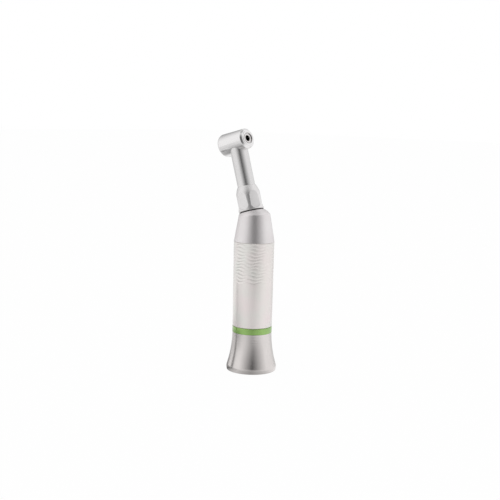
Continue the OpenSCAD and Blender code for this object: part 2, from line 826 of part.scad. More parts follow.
module head_shell() {
  lip_r = lip_d / 2;
  lip_back_h = head_front - lip_round;
  color(steel) difference() {
    on_head(0) rotate_extrude()
      polygon(concat(
        [
          [cap_thread_d / 2 + fit_gap, head_back],
          [head_d / 2, head_back]
        ],
        arc_points([nose_d / 2 - nose_round, lip_back_h - nose_round], nose_round, 0, 90, 6),
        arc_points([lip_r - lip_round, lip_back_h], lip_round, 0, 90, 5),
        [
          [mouth_d / 2, head_front],
          [mouth_d / 2, lip_h],
          [head_bore_d / 2, lip_h],
          [head_bore_d / 2, rear_brg_h],
          [cap_thread_d / 2 + fit_gap, rear_brg_h]
        ]
      ));
    on_neck(neck_top_s - head_d) cylinder(d = neck_d + 2 * fit_gap, h = head_d);
  }
}

module front_shield() {
  color(steel) on_head(lip_h - shield_t) tube(head_brg_d, shield_bore_d, shield_t);
}

module back_cap() {
  cap_r = cap_d / 2;
  color(steel) on_head(0) rotate_extrude()
    polygon(concat(
      [
        [cap_bore_d / 2, rear_brg_h],
        [cap_thread_d / 2, rear_brg_h],
        [cap_thread_d / 2, head_back],
        [cap_r, head_back]
      ],
      arc_points([cap_r - cap_round, cap_back_h + cap_round], cap_round, 0, -90, 6),
      [
        [button_d / 2 + slide_gap, cap_back_h],
        [button_d / 2 + slide_gap, button_lip_h],
        [cap_bore_d / 2, button_lip_h]
      ]
    ));
}

module spring_seat() {
  seat_r = cap_bore_d / 2 - fit_gap;
  seat_wall = seat_r - head_bore_d / 2 + race_gap(head_brg_d, spindle_d);
  color(steel) on_head(0) rotate_extrude()
    polygon([
      [post_d / 2 + side_gap, seat_h],
      [seat_r, seat_h],
      [seat_r, rear_brg_h - fit_gap],
      [seat_r - seat_wall, rear_brg_h - fit_gap],
      [seat_r - seat_wall, seat_h + seat_t],
      [post_d / 2 + side_gap, seat_h + seat_t]
    ]);
}

module push_button() {
  dome_r = button_d / 2;
  dome_edge_h = cap_back_h - button_proud + button_crown;
  crown_r = (dome_r * dome_r + button_crown * button_crown) / (2 * button_crown);
  crown_turn = asin(dome_r / crown_r);
  hollow_r = dome_r - button_wall;
  color(bright) on_head(0) rotate_extrude()
    polygon(concat(
      arc_points([0, dome_edge_h - button_crown + crown_r], crown_r, -90, -90 + crown_turn, 8),
      [
        [dome_r, button_lip_h + fit_gap],
        [cap_bore_d / 2 - slide_gap, button_lip_h + fit_gap],
        [cap_bore_d / 2 - slide_gap, button_front_h],
        [hollow_r, button_front_h],
        [hollow_r, button_floor_h],
        [post_d / 2, button_floor_h],
        [post_d / 2, post_end_h],
        [0, post_end_h]
      ]
    ));
}

module button_spring() {
  height = seat_h - button_floor_h - 2 * fit_gap;
  color(bright) on_head(button_floor_h + fit_gap)
    coil_spring(button_spring_d, button_wire_d, height, 3);
}

// Drive dog and input shaft

module flatted_round(diameter, flats, height) {
  intersection() {
    cylinder(d = diameter, h = height);
    translate([-diameter, -flats / 2, 0]) cube([2 * diameter, flats, height]);
  }
}

module drive_dog() {
  claw_w = dog_d / 2;
  color(gear_grey) on_handle(dog_z) {
    difference() {
      translate([0, 0, claw_len]) cylinder(d = dog_d, h = dog_len - claw_len);
      translate([0, 0, claw_len + dog_web]) cylinder(d = dog_spring_d + 2 * dog_wire_d, h = dog_len);
      flatted_round(input_shaft_d + 2 * slide_gap, dog_flats + 2 * slide_gap, dog_len);
    }
    intersection() {
      tube(dog_d, claw_bore_d, claw_len + dog_web / 2);
      translate([-dog_d, -claw_w / 2, 0]) cube([2 * dog_d, claw_w, dog_len]);
    }
  }
}

module dog_spring() {
  foot_z = dog_web_z + dog_web + fit_gap;
  color(bright) on_handle(foot_z)
    coil_spring(dog_spring_d, dog_wire_d, shaft_collar_z - foot_z - fit_gap, 4);
}

module dog_clip() {
  opening = clip_neck_d - 2 * fit_gap;
  color(bright) on_handle(dog_clip_z) difference() {
    cylinder(d = claw_bore_d - 2 * slide_gap, h = dog_clip_t);
    translate([0, 0, -dog_clip_t])
      cylinder(d = clip_neck_d + 2 * fit_gap, h = 3 * dog_clip_t);
    translate([0, -opening / 2, -dog_clip_t]) cube([dog_d, opening, 3 * dog_clip_t]);
  }
}

module input_shaft() {
  color(gear_grey) difference() {
    union() {
      on_handle(shaft_foot_z) flatted_round(input_shaft_d, dog_flats, shaft_collar_z - shaft_foot_z);
      on_handle(shaft_collar_z) cylinder(d = shaft_collar_d, h = shaft_collar_h);
      on_handle(shaft_collar_z) cylinder(d = input_shaft_d, h = plate_z - shaft_collar_z);
      on_handle(plate_z) cylinder(d = sun_seat_d, h = planet_z + planet_w - plate_z);
    }
    on_handle(dog_clip_z - fit_gap)
      tube(2 * input_shaft_d, clip_neck_d, dog_clip_t + 2 * fit_gap);
  }
}

module sun_gear() {
  color(gear_grey) on_handle(planet_z) spur_gear(sun_teeth, planet_w, sun_seat_d + 2 * fit_gap);
}

// Planet gears and carrier

module at_planet(index) {
  rotate([0, 0, 360 * index / planet_count]) translate([planet_orbit_r, 0, 0]) children();
}

module planet_gear(index) {
  color(gear_grey) on_handle(planet_z) at_planet(index)
    rotate([0, 0, 180 / planet_teeth])
      spur_gear(planet_teeth, planet_w, pin_d + 2 * run_gap);
}

module planet_pins() {
  color(bright) for (i = [0 : planet_count - 1])
    on_handle(plate_z) at_planet(i) cylinder(d = pin_d, h = carrier_top_z - plate_z);
}

module carrier_disc(height, bore_d) {
  difference() {
    cylinder(d = carrier_d, h = height);
    cylinder(d = bore_d, h = 3 * height, center = true);
    for (i = [0 : planet_count - 1])
      at_planet(i) cylinder(d = pin_d + 2 * fit_gap, h = 3 * height, center = true);
  }
}

module carrier_plate() {
  sun_tip_d = gear_module * sun_teeth + 2 * tooth_addendum;
  color(gear_grey) on_handle(plate_z) carrier_disc(plate_t, sun_tip_d + 2 * side_gap);
}

module planet_carrier() {
  color(gear_grey) on_handle(carrier_z) carrier_disc(carrier_t, output_shaft_d + 2 * fit_gap);
}

module output_shaft() {
  color(gear_grey) {
    on_handle(carrier_z) cylinder(d = output_shaft_d, h = output_end_z - carrier_z);
    on_handle(carrier_top_z) cylinder(d = output_shoulder_d, h = output_brg_z - carrier_top_z);
    on_handle(output_end_z) cylinder(d = output_end_d, h = crown_hub_len);
  }
}

module shaft_nut() {
  nut_d = output_shaft_d + 2 * (bay_d - output_shaft_d) / 4;
  color(steel) on_handle(stack_top_z) difference() {
    cylinder(d = nut_d, h = shaft_nut_h, $fn = 6);
    cylinder(d = output_shaft_d + 2 * fit_gap, h = 3 * shaft_nut_h, center = true);
  }
}

module bend_drive_gear() {
  color(gear_grey) on_handle(bend_z) crown_gear(output_end_d + 2 * fit_gap);
}

// Neck shaft

module neck_bend_gear() {
  color(gear_grey) on_neck(0)
    rotate([180, 0, 180 / crown_teeth]) crown_gear(neck_shaft_d + 2 * fit_gap);
}

module neck_shaft() {
  color(gear_grey) {
    on_neck(neck_shaft_s) cylinder(d = neck_shaft_d, h = pinion_back_s - neck_shaft_s);
    on_neck(neck_shaft_s)
      cylinder(d = pinion_seat_d, h = pinion_back_s - neck_shaft_s + bevel_back + bevel_face / 2);
  }
}

module neck_pinion() {
  color(gear_grey) on_neck(head_reach) head_bevel_gear(pinion_seat_d + 2 * fit_gap);
}

// Bur spindle and chuck

module bur_gear() {
  color(gear_grey) on_head(0)
    rotate([0, 0, 180 / bevel_teeth]) head_bevel_gear(spindle_d + 2 * fit_gap);
}

module chuck_spindle() {
  spindle_r = spindle_d / 2;
  nose_r = spindle_nose_d / 2;
  shank_r = shank_bore_d / 2;
  nose_hole_r = plunger_nose_d / 2 + slide_gap;
  nose_shoulder_h = front_brg_h + head_brg_w;
  color(bright) on_head(0) rotate_extrude()
    polygon([
      [shank_r + shank_chamfer, spindle_nose_h],
      [nose_r, spindle_nose_h],
      [nose_r, nose_shoulder_h],
      [spindle_r, nose_shoulder_h],
      [spindle_r, spindle_tail_h],
      [plunger_bore_d / 2, spindle_tail_h],
      [plunger_bore_d / 2, plunger_stop_h],
      [nose_hole_r, plunger_stop_h],
      [nose_hole_r, groove_back_h],
      [clip_groove_d / 2, groove_back_h],
      [clip_groove_d / 2, shank_end_h],
      [shank_r, shank_end_h],
      [shank_r, spindle_nose_h - shank_chamfer]
    ]);
}

// The clip is drawn as a shank holds it open

module chuck_clip() {
  clip_h = clip_groove_w - 2 * fit_gap;
  opening = shank_bore_d / 2;
  color(bright) on_head(groove_back_h + fit_gap) difference() {
    tube(clip_groove_d - 2 * fit_gap, shank_bore_d, clip_h);
    translate([0, -opening / 2, -clip_h]) cube([clip_groove_d, opening, 3 * clip_h]);
  }
}

module lock_plunger() {
  color(bright) on_head(plunger_tail_h) {
    cylinder(d = plunger_bore_d - 2 * slide_gap, h = plunger_len);
    cylinder(d = plunger_nose_d, h = groove_back_h - plunger_tail_h);
  }
}

// Bearings in place

module input_bearing_outer() {
  color(bright) on_handle(input_brg_z)
    bearing_outer(input_brg_d, input_shaft_d + 2 * fit_gap, input_brg_w, input_ball_d);
}

module input_bearing_inner() {
  color(bright) on_handle(input_brg_z)
    bearing_inner(input_brg_d, input_shaft_d + 2 * fit_gap, input_brg_w, input_ball_d);
}

module input_bearing_cage() {
  on_handle(input_brg_z)
    bearing_cage(input_brg_d, input_shaft_d + 2 * fit_gap, input_brg_w, input_ball_d);
}

module output_bearing_outer() {
  color(bright) on_handle(output_brg_z)
    bearing_outer(output_brg_d, output_shaft_d + 2 * fit_gap, output_brg_w, output_ball_d);
}

module output_bearing_inner() {
  color(bright) on_handle(output_brg_z)
    bearing_inner(output_brg_d, output_shaft_d + 2 * fit_gap, output_brg_w, output_ball_d);
}

module output_bearing_cage() {
  on_handle(output_brg_z)
    bearing_cage(output_brg_d, output_shaft_d + 2 * fit_gap, output_brg_w, output_ball_d);
}

module neck_bearing_outer() {
  color(bright) on_neck(neck_brg_s)
    bearing_outer(neck_brg_d, neck_shaft_d + 2 * fit_gap, neck_brg_w, neck_ball_d);
}

module neck_bearing_inner() {
  color(bright) on_neck(neck_brg_s)
    bearing_inner(neck_brg_d, neck_shaft_d + 2 * fit_gap, neck_brg_w, neck_ball_d);
}

module neck_bearing_cage() {
  on_neck(neck_brg_s)
    bearing_cage(neck_brg_d, neck_shaft_d + 2 * fit_gap, neck_brg_w, neck_ball_d);
}

module front_bearing_outer() {
  color(bright) on_head(front_brg_h)
    bearing_outer(head_brg_d, spindle_d + 2 * fit_gap, head_brg_w, head_ball_d);
}

module front_bearing_inner() {
  color(bright) on_head(front_brg_h)
    bearing_inner(head_brg_d, spindle_d + 2 * fit_gap, head_brg_w, head_ball_d);
}

module front_bearing_cage() {
  on_head(front_brg_h)
    bearing_cage(head_brg_d, spindle_d + 2 * fit_gap, head_brg_w, head_ball_d);
}

module rear_bearing_outer() {
  color(bright) on_head(rear_brg_h)
    bearing_outer(head_brg_d, spindle_d + 2 * fit_gap, head_brg_w, head_ball_d);
}

module rear_bearing_inner() {
  color(bright) on_head(rear_brg_h)
    bearing_inner(head_brg_d, spindle_d + 2 * fit_gap, head_brg_w, head_ball_d);
}

module rear_bearing_cage() {
  on_head(rear_brg_h)
    bearing_cage(head_brg_d, spindle_d + 2 * fit_gap, head_brg_w, head_ball_d);
}

rear_skirt();
coupling_socket();
ratio_ring();
grip_sleeve();
input_bearing_block();
ring_gear();
output_bearing_block();
front_sleeve();
collar_seal();
neck_collar();
neck_tube();
neck_bearing_nut();
neck_bush();
head_shell();
front_shield();
back_cap();
spring_seat();
push_button();
button_spring();
drive_dog();
dog_spring();
dog_clip();
input_shaft();
sun_gear();
planet_gear(0);  // planet_gear_1
planet_gear(1);  // planet_gear_2
planet_gear(2);  // planet_gear_3
planet_pins();
carrier_plate();
planet_carrier();
output_shaft();
shaft_nut();
bend_drive_gear();
neck_bend_gear();
neck_shaft();
neck_pinion();
bur_gear();
chuck_spindle();
chuck_clip();
lock_plunger();
input_bearing_outer();
input_bearing_inner();
input_bearing_cage();
output_bearing_outer();
output_bearing_inner();
output_bearing_cage();
neck_bearing_outer();
neck_bearing_inner();
neck_bearing_cage();
front_bearing_outer();
front_bearing_inner();
front_bearing_cage();
rear_bearing_outer();
rear_bearing_inner();
rear_bearing_cage();
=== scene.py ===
"""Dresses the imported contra-angle handpiece: turned shells, finishes, a small studio and the camera."""

import json
import logging
import math
from dataclasses import dataclass
from enum import Enum

import bpy
from mathutils import Euler, Matrix, Vector

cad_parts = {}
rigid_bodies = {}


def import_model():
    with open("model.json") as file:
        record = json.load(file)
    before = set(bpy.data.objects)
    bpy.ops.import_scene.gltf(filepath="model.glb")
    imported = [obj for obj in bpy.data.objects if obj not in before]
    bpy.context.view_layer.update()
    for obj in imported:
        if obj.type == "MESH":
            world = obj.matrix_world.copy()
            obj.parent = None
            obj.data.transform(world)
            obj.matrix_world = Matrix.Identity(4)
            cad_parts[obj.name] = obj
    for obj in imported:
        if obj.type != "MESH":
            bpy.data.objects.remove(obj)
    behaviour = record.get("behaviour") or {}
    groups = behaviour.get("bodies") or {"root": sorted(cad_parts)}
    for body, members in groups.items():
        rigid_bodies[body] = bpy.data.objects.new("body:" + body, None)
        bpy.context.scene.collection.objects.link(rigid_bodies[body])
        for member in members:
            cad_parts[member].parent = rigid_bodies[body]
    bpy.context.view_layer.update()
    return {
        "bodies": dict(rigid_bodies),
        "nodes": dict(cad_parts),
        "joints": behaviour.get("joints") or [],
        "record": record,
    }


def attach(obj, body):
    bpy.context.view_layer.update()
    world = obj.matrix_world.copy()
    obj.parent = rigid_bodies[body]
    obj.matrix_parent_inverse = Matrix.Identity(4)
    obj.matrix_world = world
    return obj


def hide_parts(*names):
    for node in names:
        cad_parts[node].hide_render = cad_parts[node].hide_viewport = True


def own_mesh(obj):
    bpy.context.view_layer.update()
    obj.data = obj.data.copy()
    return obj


LOG = logging.getLogger("handpiece")
MM = 0.001

Piece = bpy.types.Object
Material = bpy.types.Material
Point = tuple[float, float]
Span = tuple[float, float]
Colour = tuple[float, float, float, float]
WHITE: Colour = (1.0, 1.0, 1.0, 1.0)

# What several classes share, in millimetres and degrees
NECK_LEAN_DEG = 17.3
BEND_Z = 58.2
HEAD_REACH = 33.9
FIT_GAP = 0.02
CAMERA_AZIMUTH_DEG = 40.8794

# A dark lobe as wide as this is almost the same in every direction
ALL_ROUND_DEG = 3600.0


class Station(Enum):
    """The three axes along which the handpiece is turned."""

    HANDLE = "handle"
    NECK = "neck"
    HEAD = "head"

    @property
    def matrix(self) -> Matrix:
        """The place of this axis in the object's frame, with Z along it."""
        if self is Station.HANDLE:
            return Matrix.Identity(4)
        lean = Matrix.Rotation(-math.radians(NECK_LEAN_DEG), 4, "Y")
        neck = Matrix.Translation((0, 0, BEND_Z * MM)) @ lean
        if self is Station.NECK:
            return neck
        return neck @ Matrix.Translation((0, 0, HEAD_REACH * MM)) @ Matrix.Rotation(math.pi / 2, 4, "Y")


class Cut(Enum):
    """Ways in which one solid shapes another."""

    AWAY = "DIFFERENCE"
    COMMON = "INTERSECT"
    JOINED = "UNION"


def linear(red: int, green: int, blue: int) -> Colour:
    """Turns a colour as a screen shows it into scene light.

    Args:
        red: Red from 0 to 255.
        green: Green from 0 to 255.
        blue: Blue from 0 to 255.

    Returns:
        The colour in linear light, with full alpha.
    """
    shares = [value / 255 for value in (red, green, blue)]
    light = [s / 12.92 if s <= 0.04045 else ((s + 0.055) / 1.055) ** 2.4 for s in shares]
    return (light[0], light[1], light[2], 1.0)


# Outlines: a point is (radius, place along the axis), in millimetres


def steps_between(start: float, end: float, steps: int) -> list[float]:
    """Evenly spaced values from start to end, both among them."""
    return [start + (end - start) * k / steps for k in range(steps + 1)]


def rod(radius: float, low: float, high: float) -> list[Point]:
    """The outline of a plain round rod."""
    return [(radius, low), (radius, high)]


def stepped(start: Point, *values: float) -> list[Point]:
    """An outline that goes across to a radius and along to a place by turns.

    Args:
        start: Its first point.
        *values: Radii and places by turns, each the end of a run.

    Returns:
        The points from the start on.
    """
    out = [start]
    for k, value in enumerate(values):
        radius, place = out[-1]
        out.append((radius, value) if k % 2 else (value, place))
    return out


def arc(centre: Point, radius: float, start_deg: float, end_deg: float, steps: int = 8) -> list[Point]:
    """Points along a round edge.

    Args:
        centre: The arc's centre.
        radius: The arc's radius.
        start_deg: Where it starts.
        end_deg: Where it ends.
        steps: How many straight runs it has.

    Returns:
        The points from start to end.
    """
    turns = [math.radians(deg) for deg in steps_between(start_deg, end_deg, steps)]
    return [(centre[0] + radius * math.cos(turn), centre[1] + radius * math.sin(turn)) for turn in turns]


def bend(start: Point, corner: Point, end: Point, steps: int) -> list[Point]:
    """Points of a soft bend that leaves one line and joins the next.

    Args:
        start: Where the bend leaves the first line.
        corner: Where the two lines would meet.
        end: Where it joins the second line.
        steps: How many straight runs it has.

    Returns:
        The points from start to end.
    """
    out: list[Point] = []
    for t in steps_between(0.0, 1.0, steps):
        point = Vector(start) * (1 - t) ** 2 + Vector(corner) * (2 * t * (1 - t)) + Vector(end) * t**2
        out.append((point.x, point.y))
    return out


def soft_corners(outline: list[Point], radius: float, steps: int = 3) -> list[Point]:
    """Rounds the sharp corners of a closed outline.

    Args:
        outline: The corners in order.
        radius: How far from a corner its rounding starts.
        steps: How many straight runs a rounding has.

    Returns:
        The outline with each sharp corner broken, by no more than a share of its sides.
    """
    sharp, side_share = math.radians(12), 0.4
    out: list[Point] = []
    for i, corner in enumerate(outline):
        here = Vector(corner)
        back = Vector(outline[i - 1]) - here
        ahead = Vector(outline[(i + 1) % len(outline)]) - here
        if math.pi - back.angle(ahead) < sharp:
            out.append(corner)
            continue
        reach = min(radius, side_share * back.length, side_share * ahead.length)
        start = here + back.normalized() * reach
        end = here + ahead.normalized() * reach
        out += bend(tuple(start), corner, tuple(end), steps)
    return out


def scored(run: list[Point], places: list[float], width: float, depth: float) -> list[Point]:
    """Fine lines turned into a run of an outline.

    Args:
        run: The points of the run.
        places: Where the lines are along the axis.
        width: Half-width of a line.
        depth: Depth of a line.

    Returns:
        The run with the lines in it.
    """

    def cut(place: float) -> float:
        """Depth of the nearest line at a place."""
        return depth * max(math.exp(-(((place - line) / width) ** 2)) for line in places)

    return [(radius - cut(place), place) for radius, place in run]


class Bench:
    """Models pieces step by step, as by hand.

    The ROUND numbers are the sides of a round piece.
    An edge that turns by more than a SHADE angle stays sharp.
    """

    SMALL_ROUND = 96
    ROUND = 144
    FINE_ROUND = 192
    FINEST_ROUND = 288
    SHADE_DEG = 32.0
    CARVED_SHADE_DEG = 28.0
    MERGE_M = 1e-7

    @staticmethod
    def clear() -> None:
        """Leaves edit mode and deselects everything."""
        if bpy.context.object and bpy.context.object.mode != "OBJECT":
            bpy.ops.object.mode_set(mode="OBJECT")
        bpy.ops.object.select_all(action="DESELECT")

    @classmethod
    def take(cls, piece: Piece) -> None:
        """Selects one piece alone and makes it active.

        Args:
            piece: The piece.
        """
        cls.clear()
        piece.select_set(True)
        bpy.context.view_layer.objects.active = piece

    @staticmethod
    def fresh(name: str) -> Piece:
        """Names the primitive that was just added.

        Args:
            name: Its new name.

        Returns:
            The piece.
        """
        piece = bpy.context.active_object
        piece.name = name
        piece.data.name = name
        return piece

    @classmethod
    def settle(cls, piece: Piece, station: Station) -> None:
        """Moves a piece that was made round Z to its station, and applies the move.

        Args:
            piece: The piece.
            station: The axis on which it sits.
        """
        cls.take(piece)
        piece.matrix_world = station.matrix @ piece.matrix_world
        bpy.ops.object.transform_apply(location=True, rotation=True, scale=True)

    @classmethod
    def turn(cls, name: str, outline: list[Point], station: Station, around: int = ROUND,
             solid: bool = False) -> Piece:
        """Turns a round piece: a ring is extruded from point to point of its outline.

        Args:
            name: The piece's name.
            outline: Its section, as radius and place along the axis.
            station: The axis on which it sits.
            around: How many sides the round has.
            solid: True where both ends close on the axis, False where the outline closes on itself.

        Returns:
            The piece, at its station.
        """
        cls.clear()
        radius, place = outline[0]
        bpy.ops.mesh.primitive_circle_add(
            vertices=around,
            radius=radius * MM,
            location=(0, 0, place * MM),
            fill_type="NGON" if solid else "NOTHING",
        )
        piece = cls.fresh(name)
        bpy.ops.object.transform_apply(location=True, rotation=False, scale=False)
        bpy.ops.object.mode_set(mode="EDIT")
        bpy.ops.mesh.select_mode(type="EDGE")
        bpy.ops.mesh.select_all(action="SELECT")
        for next_radius, next_place in outline[1:] if solid else [*outline[1:], outline[0]]:
            rise = (next_place - place) * MM
            bpy.ops.mesh.extrude_edges_move(TRANSFORM_OT_translate={"value": (0, 0, rise)})
            widen = next_radius / radius
            bpy.ops.transform.resize(value=(widen, widen, 1), center_override=(0, 0, next_place * MM))
            radius, place = next_radius, next_place
        if solid:
            bpy.ops.mesh.edge_face_add()
        cls.close(piece)
        cls.settle(piece, station)
        return piece

    @classmethod
    def shell(cls, name: str, outline: list[Point], station: Station, edge: float, around: int = ROUND,
              edge_steps: int = 3) -> Piece:
        """Turns a hollow piece, breaks its edges and shades it.

        Args:
            name: The piece's name.
            outline: Its section, which closes on itself.
            station: The axis on which it sits.
            edge: How far from a corner its rounding starts.
            around: How many sides the round has.
            edge_steps: How many straight runs a rounding has.

        Returns:
            The piece, at its station.
        """
        piece = cls.turn(name, soft_corners(outline, edge, edge_steps), station, around)
        cls.smooth(piece)
        return piece

    @classmethod
    def close(cls, piece: Piece) -> None:
        """Merges doubles and turns every face outwards.

        Args:
            piece: The piece.
        """
        cls.take(piece)
        bpy.ops.object.mode_set(mode="EDIT")
        bpy.ops.mesh.select_all(action="SELECT")
        bpy.ops.mesh.remove_doubles(threshold=cls.MERGE_M)
        bpy.ops.mesh.normals_make_consistent(inside=False)
        bpy.ops.object.mode_set(mode="OBJECT")

    @classmethod
    def apply(cls, piece: Piece, kind: str, **settings: object) -> None:
        """Adds a modifier with these settings and applies it.

        Args:
            piece: The piece that it shapes.
            kind: The modifier's type.
            **settings: Its settings by name.
        """
        cls.take(piece)
        step = piece.modifiers.new(kind.lower(), kind)
        for name, value in settings.items():
            setattr(step, name, value)
        bpy.ops.object.modifier_apply(modifier=step.name)

    @classmethod
    def carve(cls, piece: Piece, tool: Piece, way: Cut) -> None:
        """Shapes a piece with a tool, which is used up: cut away, joined, or leaving the common part."""
        cls.apply(piece, "BOOLEAN", operation=way.value, object=tool, solver="EXACT")
        bpy.data.objects.remove(tool)

    @classmethod
    def carve_round(cls, piece: Piece, outline: list[Point], station: Station, way: Cut,
                    around: int = FINE_ROUND) -> None:
        """Shapes a piece with a solid that is turned from an outline on a station's axis."""
        cls.carve(piece, cls.turn("round_tool", outline, station, around, solid=True), way)

    @staticmethod
    def copied(piece: Piece, turn: float) -> Piece:
        """Copies a piece and turns the copy round Z.

        Args:
            piece: The piece that is copied.
            turn: The copy's turn in radians.

        Returns:
            The copy.
        """
        double = piece.copy()
        double.data = piece.data.copy()
        bpy.context.scene.collection.objects.link(double)
        double.matrix_world = Matrix.Rotation(turn, 4, "Z")
        return double

    @classmethod
    def soften(cls, piece: Piece, width: float, angle_deg: float) -> None:
        """Rounds the edges that turn by more than an angle.

        Args:
            piece: The piece.
            width: Width of a rounding in millimetres.
            angle_deg: The angle.
        """
        cls.apply(piece, "BEVEL", width=width * MM, segments=2, limit_method="ANGLE",
                  angle_limit=math.radians(angle_deg), use_clamp_overlap=True)
        cls.close(piece)

    @classmethod
    def choose(cls, piece: Piece, corners: list[int]) -> None:
        """Opens a piece in edit mode with only some of its corners selected.

        Args:
            piece: The piece.
            corners: The numbers of the corners that are selected.
        """
        cls.take(piece)
        bpy.ops.object.mode_set(mode="EDIT")
        bpy.ops.mesh.select_mode(type="VERT")
        bpy.ops.mesh.select_all(action="DESELECT")
        bpy.ops.object.mode_set(mode="OBJECT")
        for corner in corners:
            piece.data.vertices[corner].select = True
        bpy.ops.object.mode_set(mode="EDIT")

    @classmethod
    def smooth(cls, piece: Piece, angle_deg: float = SHADE_DEG) -> None:
        """Shades a piece smooth, with edges kept above an angle.

        Args:
            piece: The piece.
            angle_deg: The angle.
        """
        cls.take(piece)
        bpy.ops.object.shade_smooth_by_angle(angle=math.radians(angle_deg))
        cls.clear()


class Wire:
    """One socket of a shader graph. Arithmetic on wires adds Math nodes."""

    def __init__(self, graph: "Graph", socket: bpy.types.NodeSocket) -> None:
        """Keeps the socket and the graph that it belongs to."""
        self.graph = graph
        self.socket = socket

    def _math(self, operation: str, first: "Wire | float", second: "Wire | float" = 0.0) -> "Wire":
        """Adds one Math node on two values."""
        return self.graph.node("ShaderNodeMath", {"operation": operation}, {0: first, 1: second})

    def __add__(self, other: "Wire | float") -> "Wire":
        """This value plus another."""
        return self._math("ADD", self, other)

    __radd__ = __add__

    def __sub__(self, other: "Wire | float") -> "Wire":
        """This value less another."""
        return self._math("SUBTRACT", self, other)

    def __rsub__(self, other: "Wire | float") -> "Wire":
        """Another value less this one."""
        return self._math("SUBTRACT", other, self)

    def __mul__(self, other: "Wire | float") -> "Wire":
        """This value times another."""
        return self._math("MULTIPLY", self, other)

    __rmul__ = __mul__

    def __truediv__(self, other: "Wire | float") -> "Wire":
        """This value divided by another."""
        return self._math("DIVIDE", self, other)

    def __abs__(self) -> "Wire":
        """The size of this value, without its sign."""
        return self._math("ABSOLUTE", self)

    def angle_over(self, other: "Wire | float") -> "Wire":
        """The angle, in radians, whose slope is this value over another."""
        return self._math("ARCTAN2", self, other)

    def length_with(self, other: "Wire") -> "Wire":
        """The long side of a right triangle with these two short sides."""
        return self._math("POWER", self * self + other * other, 0.5)

    def swing(self, amount: float) -> "Wire":
        """A noise from 0 to 1, made to swing round zero over an amount."""
        return (self - 0.5) * amount

    def climb(self, start: float, end: float) -> "Wire":
        """0 up to the start, 1 from the end on, and a straight climb between."""
        return self.graph.node("ShaderNodeClamp", inputs={"Value": (self - start) / (end - start)})


class Graph:
    """The nodes of one material or of the world."""

    def __init__(self, tree: bpy.types.NodeTree) -> None:
        """Empties the tree and keeps it."""
        self.tree = tree
        tree.nodes.clear()

    def node(self, kind: str, settings: dict | None = None, inputs: dict | None = None,
             out: int | str = 0) -> Wire:
        """Adds a node.

        Args:
            kind: The node's type.
            settings: Its own settings, set first.
            inputs: Values or wires for its sockets, by name or number.
            out: The output that is handed back.

        Returns:
            That output as a wire.
        """
        made = self.tree.nodes.new(kind)
        for name, value in (settings or {}).items():
            setattr(made, name, value)
        for name, value in (inputs or {}).items():
            if isinstance(value, Wire):
                self.tree.links.new(value.socket, made.inputs[name])
            else:
                made.inputs[name].default_value = value
        return Wire(self, made.outputs[out] if made.outputs else None)

    def output(self, kind: str, surface: Wire) -> None:
        """Links a shader to the tree's output."""
        self.node(kind, inputs={"Surface": surface})

    def parts(self) -> tuple[Wire, Wire, Wire]:
        """The piece's own three coordinates."""
        place = self.node("ShaderNodeTexCoord", out="Object")
        return tuple(self.node("ShaderNodeSeparateXYZ", inputs={0: place}, out=axis) for axis in "XYZ")

    def noise(self, station: Station, cells: Span, detail: float) -> Wire:
        """Noise from 0 to 1 that lies along a station's axis.

        Args:
            station: The axis.
            cells: Cells of the noise per metre, across the axis and along it.
            detail: How many finer layers it has.

        Returns:
            The noise.
        """
        frame = station.matrix
        local = self.node("ShaderNodeMapping", {"vector_type": "TEXTURE"}, {
            "Vector": self.node("ShaderNodeTexCoord", out="Object"),
            "Location": frame.to_translation(),
            "Rotation": frame.to_euler(),
        })
        stretch = (cells[0], cells[0], cells[1])
        place = self.node("ShaderNodeVectorMath", {"operation": "MULTIPLY"}, {0: local, 1: stretch})
        return self.node("ShaderNodeTexNoise", inputs={"Vector": place, "Scale": 1.0, "Detail": detail})

    def blend(self, share: Wire, first: Wire | Colour, second: Wire | Colour) -> Wire:
        """A colour between two, by a share."""
        return self.node("ShaderNodeMix", {"data_type": "RGBA"}, {0: share, 6: first, 7: second}, out=2)

    def bump(self, height: Wire, strength: float, distance_mm: float) -> Wire:
        """A normal that follows a height."""
        inputs = {"Height": height, "Strength": strength, "Distance": distance_mm * MM}
        return self.node("ShaderNodeBump", inputs=inputs)

    def principled(self, **inputs: object) -> Wire:
        """A Principled shader, with sockets named by words joined by underscores."""
        sockets = {name.replace("_", " "): value for name, value in inputs.items()}
        return self.node("ShaderNodeBsdfPrincipled", inputs=sockets)


def new_material(name: str) -> tuple[Material, Graph]:
    """Makes an empty node material and its graph.

    Args:
        name: The material's name.

    Returns:
        The material and its graph.
    """
    material = bpy.data.materials.new(name)
    material.use_nodes = True
    return material, Graph(material.node_tree)


@dataclass(frozen=True)
class Finish:
    """A named finish, made by nodes."""

    name: str

    def surface(self, graph: Graph) -> Wire:
        """The finish's shader."""
        raise NotImplementedError

    def material(self) -> Material:
        """Builds the material.

        Returns:
            The material.
        """
        made, graph = new_material(self.name)
        graph.output("ShaderNodeOutputMaterial", self.surface(graph))
        return made


@dataclass(frozen=True)
class TurnedSteel(Finish):
    """Steel off the lathe, with fine lines round its axis and a soft sheen."""

    light: Colour
    shade: Colour
    roughness: float
    station: Station
    wander: float = 0.09
    line_cells: Span = (60.0, 3000.0)
    line_strength: float = 0.3
    line_depth_mm: float = 0.012
    cloud_cells: Span = (240.0, 160.0)

    def surface(self, graph: Graph) -> Wire:
        """Metal whose gloss wanders with the turned lines and with soft clouds.

        Args:
            graph: The material's nodes.

        Returns:
            The steel's shader.
        """
        lines = graph.noise(self.station, self.line_cells, detail=3.0)
        clouds = graph.noise(self.station, self.cloud_cells, detail=4.0)
        return graph.principled(
            Base_Color=graph.blend(clouds, self.light, self.shade),
            Metallic=1.0,
            Roughness=self.roughness + lines.swing(self.wander) + clouds.swing(self.wander),
            Normal=graph.bump(lines, self.line_strength, self.line_depth_mm),
        )


